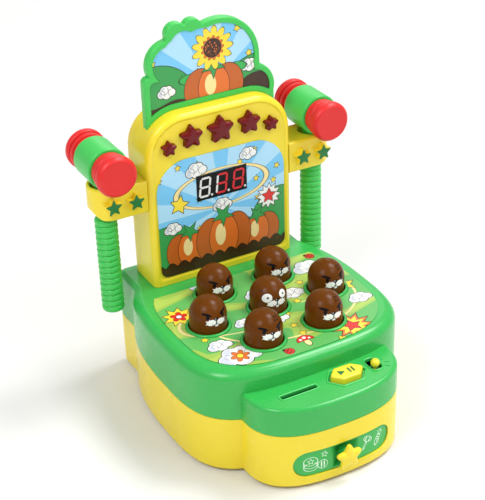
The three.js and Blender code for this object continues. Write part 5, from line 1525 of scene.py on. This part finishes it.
def segment(x, z, width, upright_bar, front):
    """Flat bar with pointed ends, leaning with its digit."""
    half = width / 2
    long = (DIGIT_HALF_HEIGHT if upright_bar else DIGIT_HALF_WIDTH * 2) / 2 - 0.2
    short = long - half
    bar = np.array([
        (long, 0), (short, half), (-short, half), (-long, 0), (-short, -half), (short, -half),
    ])
    corners = (bar[:, ::-1] * (1, -1) if upright_bar else bar) + (x, z)
    lean = (corners[:, 1:] - DISPLAY_MIDDLE) * (DIGIT_LEAN, 0)
    return plate(corners + lean, front, TOWER_FRONT + 0.4)


def display_plan(inset):
    half, high = DISPLAY_HALF_WIDTH - inset, DISPLAY_HALF_HEIGHT - inset
    return rectangle(-half, half, DISPLAY_MIDDLE - high, DISPLAY_MIDDLE + high, 0.6, 0.6, 4)


def make_score_panel(sizes, tints):
    half = TOWER_HALF - 8
    outline = rectangle(-half, half, TOWER_FOOT + 8.5, TOWER_FOOT + 131, 8, 33, 12)
    back = FACE - GAP
    sheet = solid("score_panel_sheet", plate(outline, back - 0.6, back))
    cut(sheet, display_window(back - 5, back + 5))
    finished(sheet, "base", panel_print(tints), ["score_panel_decal"])
    side = [(0.4, TOWER_FRONT), (0, TOWER_FRONT + 0.4), (0, 100.9)]
    black = moulded("display_plastic", tints.black, 0.3, 0.1, 0.02, specular_ior_level=0.2)
    case = solid("display_case", facing(display_plan, side))
    finished(case, "base", black, ["score_display"])
    make_digits(sizes, tints)


def make_digits(sizes, tints):
    width = sizes.segment_width * 1000
    front = TOWER_FRONT - sizes.segment_proud * 1000
    foot = DISPLAY_MIDDLE - DIGIT_HALF_HEIGHT
    unlit, lit = [], []
    for digit in range(3):
        centre = (digit - 1) * DIGIT_PITCH + DIGIT_SHIFT
        for name, (across, up, upright_bar) in SEGMENTS.items():
            x = centre + across * DIGIT_HALF_WIDTH
            z = DISPLAY_MIDDLE + up * DIGIT_HALF_HEIGHT
            shows = digit == 2 or (digit == 1 and not name.endswith("left"))
            (lit if shows else unlit).append(segment(x, z, width, upright_bar, front))
        unlit.append(rod_back(1.2, front, TOWER_FRONT + 0.4, centre + POINT_SHIFT, foot, 20))
    grey = moulded("segment_unlit", (0.8, 0.8, 0.79), 0.4)
    finished(solid("display_bars_unlit", added(unlit)), "base", grey)
    glow = {"emission_strength": 0.08, "emission_color": (0.9, 0.01, 0.02, 1.0)}
    red = moulded("segment_lit", (0.6, 0.008, 0.02), 0.35, **glow)
    finished(solid("display_bars_lit", added(lit)), "base", red)


def make_star_lenses(sizes, tints):
    lens = moulded("lens_plastic", tints.lens, 0.09, 0.12, 0.02, specular_ior_level=0.3)
    front, back = FACE - 7.0, FACE + 4.0
    for name, (x, rise, radius) in STAR_LENSES.items():
        z = TOWER_FOOT + rise
        star = pillow_star(radius, FAT_STAR, x, z, front, back, 3.0, LENS_TIP, 2.6)
        piece = solid(name + "_cap", star)
        joined(piece, plate(star_plan(radius + 1.2, FAT_STAR, x, z), FACE + 2.8, back))
        finished(piece, "base", lens, [name], 40)


# Sign


def sign_lobe(across, rise, share, inset, profile):
    """Round lobe of the sign, drawn in by the inset."""
    x, z, radius = across * SIGN_UNIT, SIGN_FOOT + rise * SIGN_UNIT, share * SIGN_UNIT - 0.16 - inset
    return facing(lambda step: circle(radius - step, x, z), profile)


def sign_bar(right, top, corner, inset, profile):
    """Straight part of the sign from its left end, drawn in by the inset."""
    def plan(step):
        drawn = inset + step
        return rectangle(-SIGN_UNIT + drawn, right - drawn, SIGN_FOOT, top - drawn, SQUARE, corner)

    return facing(plan, profile)


def sign_solid(name, inset, profile):
    """Leafy sign as one solid, drawn in by the inset; its pocket and picture have other lobes."""
    lobes = POCKET_LOBES if inset > 0 else SIGN_LOBES
    first, *others = [sign_lobe(*lobe, inset, profile) for lobe in lobes]
    trunk = sign_bar(54, TOWER_FOOT + 213.7, 5.5, inset, profile)
    toe = sign_bar(SIGN_UNIT, TOWER_FOOT + 180, SQUARE, inset, profile)
    return joined(solid(name, first), *others, trunk, toe)


def tower_room(margin, y0, y1):
    """Room that the sign leaves for the tower's arch."""
    return plate(tower_plan(-margin, DECK), y0, y1)


def make_sign(sizes, tints):
    side = [*front_round(sizes.sign_round * 1000, SIGN_FRONT), (0, SIGN_BACK)]
    board = sign_solid("sign_leaf", 0, side)
    cut(board, tower_room(GAP, SIGN_FRONT - OVER, SIGN_BACK + OVER))
    floor = SIGN_FRONT + POCKET_DEPTH
    pocket = sign_solid("pocket", RIM, [(0, SIGN_FRONT - OVER), (0, floor)])
    cut(pocket, tower_room(RIM, SIGN_FRONT - 2 * OVER, SIGN_BACK + OVER))
    cut(board, pocket)
    joined(board, sign_tab().mirrored(), sign_tab())
    leaf = moulded("leaf_plastic_sign", tints.leaf_green, 0.38)
    finished(board, "base", leaf, ["sign_frame"])
    back = floor - GAP
    picture = sign_solid("sign_sheet", RIM + GAP, [(0, back - 1), (0, back)])
    cut(picture, tower_room(RIM + GAP, back - 6, back + 6))
    finished(picture, "base", sign_print(tints), ["sign_picture"])


# Arms


def arm_plan(inset):
    """Plan of the right arm: flat at the tower, half round at its end."""
    root, radius, centre = TOWER_HALF + GAP, ARM_RADIUS - inset, ARM_REACH - ARM_RADIUS
    turn = np.linspace(-math.pi / 2, math.pi / 2, 25)
    end = np.column_stack([centre + radius * np.cos(turn), ARM_Y + radius * np.sin(turn)])
    return np.vstack([[(root, ARM_Y + radius), (root, ARM_Y - radius)], end])


def arm_limit(low, high):
    """What the right arm stays within, seen from the front: its outer lower corner is round."""
    corners = [(70, low), (ARM_REACH, low), (ARM_REACH, high + 5), (70, high + 5)]
    return plate(rounded(corners, [SQUARE, 14, SQUARE, SQUARE], 12), 80, 140)


def arm_hole(low, high):
    """Hole of the right arm: a bevel at its foot, and an edge that rounds over at its top."""
    radius, flare = HOLE_RADIUS, HOLE_FLARE
    over = [
        (radius + flare * (1 - math.sin(a)), high - flare * (1 - math.cos(a)) + 0.02) for a in QUARTER
    ]
    foot = [(0, low - OVER), (radius + flare, low - OVER), (radius + flare, low), (radius, low + flare)]
    top = [(radius, high - flare), *over[::-1], (radius + flare, high + OVER), (0, high + OVER)]
    return lathe(foot + top, 72).moved(HOLE_X, ARM_Y)


def make_arms(sizes, tints):
    yellow = moulded("yellow_plastic_arms", tints.yellow, 0.3)
    dark = moulded("dark_green_plastic", tints.dark_green, 0.4)
    low, high = ARM_MIDDLE - ARM_HALF, ARM_MIDDLE + ARM_HALF
    skin = upright(arm_plan, lower_round(2.5, low) + upper_round(2.5, high))
    plate_back = ARM_STAR_FRONT + ARM_STAR_PLATE
    for word, side in SIDES.items():
        arm = kept(solid(word + "_arm_skin", skin.on(side)), arm_limit(low, high).on(side))
        stars = [star_plan(9.2, THIN_STAR, side * x, ARM_MIDDLE, 0.1, 0.06) for x in ARM_STARS.values()]
        bosses = [plate(star, plate_back + GAP, 92.5) for star in stars]
        joined(arm, tenon(70, 80.8).on(side), *bosses)
        cut(arm, arm_hole(low, high).on(side))
        finished(arm, "base", yellow, [word + "_arm"])
        for place, x in ARM_STARS.items():
            star = pillow_star(
                8.3, THIN_STAR, side * x, ARM_MIDDLE, ARM_STAR_FRONT, plate_back, 0.4, 0.06,
            )
            name = f"{word}_arm_star_{place}"
            finished(solid(name + "_face", star), "base", dark, [name], 50)


# Hammers


def handle_shape(depth):
    """Grip whose radius is r + d |sin|^(1/2) along it, a plain shaft and a neck."""
    share = np.arange(GRIP_RIBS * 10 + 1) / 10
    radius = GRIP_RADIUS - depth + depth * np.sqrt(np.abs(np.sin(share * math.pi)))
    foot = GRIP_TOP - GRIP_LENGTH
    height = foot + share * GRIP_LENGTH / GRIP_RIBS
    end = [(0, foot), (7.0, foot), (8.0, foot + 0.4)]
    shaft = [(9.0, GRIP_TOP), (8.2, GRIP_TOP + 1.2), (7.0, GRIP_TOP + 2.0), (7.0, -27.5)]
    neck = [(7.5, -25.5), (9.0, -21.0), (9.0, -17), (0, -17)]
    return lathe([*end, *zip(radius, height), *shaft, *neck], 40)


def cap_shape():
    """Soft cap of a hammer: a neck, two rounded rings with grooves between, and a bevelled face."""
    profile = [
        (0, 0), (17.0, 0), (17.5, 0.5), (17.5, 4.2), (16.2, 5.2), (16.2, 6.3), (17.6, 6.5), (18.7, 7.1),
        (19.0, 8.6), (19.0, 10.0), (18.6, 11.1), (17.6, 11.7), (16.2, 12.0), (16.2, 13.2), (18.6, 13.4),
        (19.7, 14.0), (20.2, 15.2), (20.2, 18.6), (19.9, 19.9), (18.6, 21.8), (17.6, 22.6), (16.6, 22.98),
        (16.0, 22.7), (0, 22.6),
    ]
    return lathe(profile, 64, "y")


def make_hammers(sizes, tints):
    leaf = moulded("leaf_plastic_hammer", tints.leaf_green, 0.34)
    red = moulded("red_plastic", tints.red, 0.42)
    arc = [
        (SLEEVE_RADIUS - SLEEVE_EDGE * (1 - math.cos(a)), SLEEVE_HALF - SLEEVE_EDGE * (1 - math.sin(a)))
        for a in QUARTER
    ]
    front = [(radius, -y) for radius, y in arc[::-1]]
    sleeve = lathe([(0, -SLEEVE_HALF), *front, *arc, (0, SLEEVE_HALF)], 72, "y")
    cap = cap_shape()
    for word, side in SIDES.items():
        place = (side * HOLE_X, ARM_Y, HAMMER_MIDDLE)
        body = word + "_hammer"
        handle = solid(body + "_grip", handle_shape(sizes.rib_depth * 1000).moved(*place))
        joined(handle, sleeve.moved(*place))
        finished(handle, body, leaf, [body + "_handle"], 40)
        for end, way in (("front", -1), ("back", 1)):
            shape = Shape(cap.points * (1, way, 1), cap.quads).moved(0, way * (SLEEVE_HALF + GAP), 0)
            face = solid(f"{body}_{end}_face", shape.moved(*place))
            finished(face, body, red, [f"{body}_{end}_cap"], 40)


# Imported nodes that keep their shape


def make_underside(sizes, tints):
    feet = ("foot_front_left", "foot_front_right", "foot_rear_left", "foot_rear_right")
    repaint(rubbed("foot_rubber", (0.05, 0.05, 0.05), 0.8, 0.0), *feet)
    repaint(moulded("yellow_plastic_door", tints.yellow), "battery_door")
    repaint(rubbed("door_screw_steel", STEEL), "battery_door_screw")


def make_inside(sizes, tints):
    repaint(circuit_board(tints), "switch_board", "control_board", "main_board")
    repaint(battery_wrap(tints), "battery_left", "battery_middle", "battery_right")
    repaint(moulded("speaker_paper", (0.03, 0.03, 0.035), 0.7, 0.2, 0.2), "speaker")


# Stage and camera


def make_stage():
    mesh = bpy.data.meshes.new("floor")
    reach = 6.0
    corners = [(-reach, -reach), (reach, -reach), (reach, reach), (-reach, reach)]
    mesh.from_pydata([(x, y, FLOOR_HEIGHT) for x, y in corners], [], [(0, 1, 2, 3)])
    floor = linked(bpy.data.objects.new("floor", mesh))
    paint = Paint("floor_white", roughness=0.9, specular_ior_level=0.0)
    tone = paint.noise(3.0)
    paint.link("Base Color", paint.mix(tone, (0.80, 0.80, 0.79), (0.82, 0.82, 0.81)))
    mesh.materials.append(paint.material)
    middle = (0, 0, 0.15)
    light("key", "SUN", (0.8, -0.05, 1.35), (0, 0, 0), 1.75, angle=0.4)
    light("left softbox", "AREA", (-0.95, -0.5, 1.35), middle, 9.5, size=0.6)
    light("right softbox", "AREA", (0.7, -0.9, 1.3), middle, 7.0, size=0.7)
    light("back softbox", "AREA", (0.85, 1.6, 1.15), middle, 4.5, size=1.2)
    world = bpy.data.worlds.new("studio")
    world.use_nodes = True
    background = world.node_tree.nodes["Background"]
    background.inputs["Color"].default_value = (1.0, 1.0, 1.0, 1.0)
    background.inputs["Strength"].default_value = 0.5
    bpy.context.scene.world = world


def light(name, kind, place, target, power, **values):
    """Lamp at a place that looks at a target, with its top up."""
    lamp = bpy.data.lights.new(name, kind)
    lamp.energy = power
    for word, value in values.items():
        setattr(lamp, word, value)
    piece = linked(bpy.data.objects.new(name, lamp))
    piece.location = place
    piece.rotation_euler = (Vector(target) - Vector(place)).to_track_quat("-Z", "Y").to_euler()


def make_camera():
    lens = bpy.data.cameras.new("camera")
    lens.lens = 96.0
    lens.sensor_width = 36.0
    lens.clip_end = 30.0
    camera = bpy.data.objects.new("camera", lens)
    columns = Matrix((CAMERA_RIGHT, CAMERA_UP, -Vector(CAMERA_AHEAD))).transposed()
    camera.matrix_world = Matrix.Translation(CAMERA_PLACE) @ columns.to_4x4()
    scene = bpy.context.scene
    scene.camera = linked(camera)
    scene.view_settings.view_transform = "Standard"


# Operators


def settings(context):
    return context.scene.game_sizes, context.scene.game_colours


class GAME_OT_lower_shell(bpy.types.Operator):
    """Build the lower shell of the base and its screws"""

    bl_idname = "game.lower_shell"
    bl_label = "Lower shell"

    def execute(self, context):
        make_lower_shell(*settings(context))
        return {"FINISHED"}


class GAME_OT_upper_shell(bpy.types.Operator):
    """Build the upper shell with its deck, collars and console"""

    bl_idname = "game.upper_shell"
    bl_label = "Upper shell"

    def execute(self, context):
        make_upper_shell(*settings(context))
        return {"FINISHED"}


class GAME_OT_playfield(bpy.types.Operator):
    """Build the printed sheet on the deck"""

    bl_idname = "game.playfield"
    bl_label = "Playfield sheet"

    def execute(self, context):
        make_playfield(*settings(context))
        return {"FINISHED"}


class GAME_OT_moles(bpy.types.Operator):
    """Build the seven moles"""

    bl_idname = "game.moles"
    bl_label = "Moles"

    def execute(self, context):
        make_moles(*settings(context))
        return {"FINISHED"}


class GAME_OT_springs(bpy.types.Operator):
    """Build the springs under the moles"""

    bl_idname = "game.springs"
    bl_label = "Springs"

    def execute(self, context):
        make_springs(*settings(context))
        return {"FINISHED"}


class GAME_OT_console(bpy.types.Operator):
    """Build the play button and the power knob"""

    bl_idname = "game.console"
    bl_label = "Console controls"

    def execute(self, context):
        make_console(*settings(context))
        return {"FINISHED"}


class GAME_OT_drawer(bpy.types.Operator):
    """Build the coin drawer's face and star pull, and repaint its tray and chute"""

    bl_idname = "game.drawer"
    bl_label = "Coin drawer"

    def execute(self, context):
        make_drawer(*settings(context))
        return {"FINISHED"}


class GAME_OT_tower(bpy.types.Operator):
    """Build the tower's front and back shells"""

    bl_idname = "game.tower"
    bl_label = "Tower"

    def execute(self, context):
        make_tower(*settings(context))
        return {"FINISHED"}


class GAME_OT_score_panel(bpy.types.Operator):
    """Build the printed score panel, the display and its digits"""

    bl_idname = "game.score_panel"
    bl_label = "Score panel"

    def execute(self, context):
        make_score_panel(*settings(context))
        return {"FINISHED"}


class GAME_OT_star_lenses(bpy.types.Operator):
    """Build the five star lenses"""

    bl_idname = "game.star_lenses"
    bl_label = "Star lenses"

    def execute(self, context):
        make_star_lenses(*settings(context))
        return {"FINISHED"}


class GAME_OT_sign(bpy.types.Operator):
    """Build the leafy sign and its picture"""

    bl_idname = "game.sign"
    bl_label = "Sign"

    def execute(self, context):
        make_sign(*settings(context))
        return {"FINISHED"}


class GAME_OT_arms(bpy.types.Operator):
    """Build the two side arms and their stars"""

    bl_idname = "game.arms"
    bl_label = "Side arms"

    def execute(self, context):
        make_arms(*settings(context))
        return {"FINISHED"}


class GAME_OT_hammers(bpy.types.Operator):
    """Build the two hammers"""

    bl_idname = "game.hammers"
    bl_label = "Hammers"

    def execute(self, context):
        make_hammers(*settings(context))
        return {"FINISHED"}


class GAME_OT_underside(bpy.types.Operator):
    """Repaint the feet, the battery door and its screw"""

    bl_idname = "game.underside"
    bl_label = "Underside"

    def execute(self, context):
        make_underside(*settings(context))
        return {"FINISHED"}


class GAME_OT_inside(bpy.types.Operator):
    """Repaint the boards, batteries and speaker"""

    bl_idname = "game.inside"
    bl_label = "Inside parts"

    def execute(self, context):
        make_inside(*settings(context))
        return {"FINISHED"}


class GAME_OT_stage(bpy.types.Operator):
    """Build the floor, the lights and the camera"""

    bl_idname = "game.stage"
    bl_label = "Stage"

    def execute(self, context):
        make_stage()
        make_camera()
        return {"FINISHED"}


PIECE_OPERATORS = (
    GAME_OT_lower_shell, GAME_OT_upper_shell, GAME_OT_playfield, GAME_OT_moles, GAME_OT_springs,
    GAME_OT_console, GAME_OT_drawer, GAME_OT_tower, GAME_OT_score_panel, GAME_OT_star_lenses, GAME_OT_sign,
    GAME_OT_arms, GAME_OT_hammers, GAME_OT_underside, GAME_OT_inside, GAME_OT_stage,
)


class GAME_PT_panel(bpy.types.Panel):
    """The settings and a button for each group of pieces"""

    bl_idname = "GAME_PT_panel"
    bl_label = "Mole pounding game"
    bl_space_type = "VIEW_3D"
    bl_region_type = "UI"
    bl_category = "Game"

    def draw(self, context):
        for group in settings(context):
            column = self.layout.column(align=True)
            for name in group.__annotations__:
                column.prop(group, name)
        column = self.layout.column(align=True)
        for operator in PIECE_OPERATORS:
            column.operator(operator.bl_idname)


CLASSES = (GameSizes, GameColours, *PIECE_OPERATORS, GAME_PT_panel)


def register():
    for item in CLASSES:
        bpy.utils.register_class(item)
    bpy.types.Scene.game_sizes = bpy.props.PointerProperty(type=GameSizes)
    bpy.types.Scene.game_colours = bpy.props.PointerProperty(type=GameColours)


def unregister():
    del bpy.types.Scene.game_colours
    del bpy.types.Scene.game_sizes
    for item in reversed(CLASSES):
        bpy.utils.unregister_class(item)


def main():
    register()
    for operator in PIECE_OPERATORS:
        name = operator.bl_idname.split(".")[1]
        getattr(bpy.ops.game, name)()


if __name__ == "__main__":
    main()
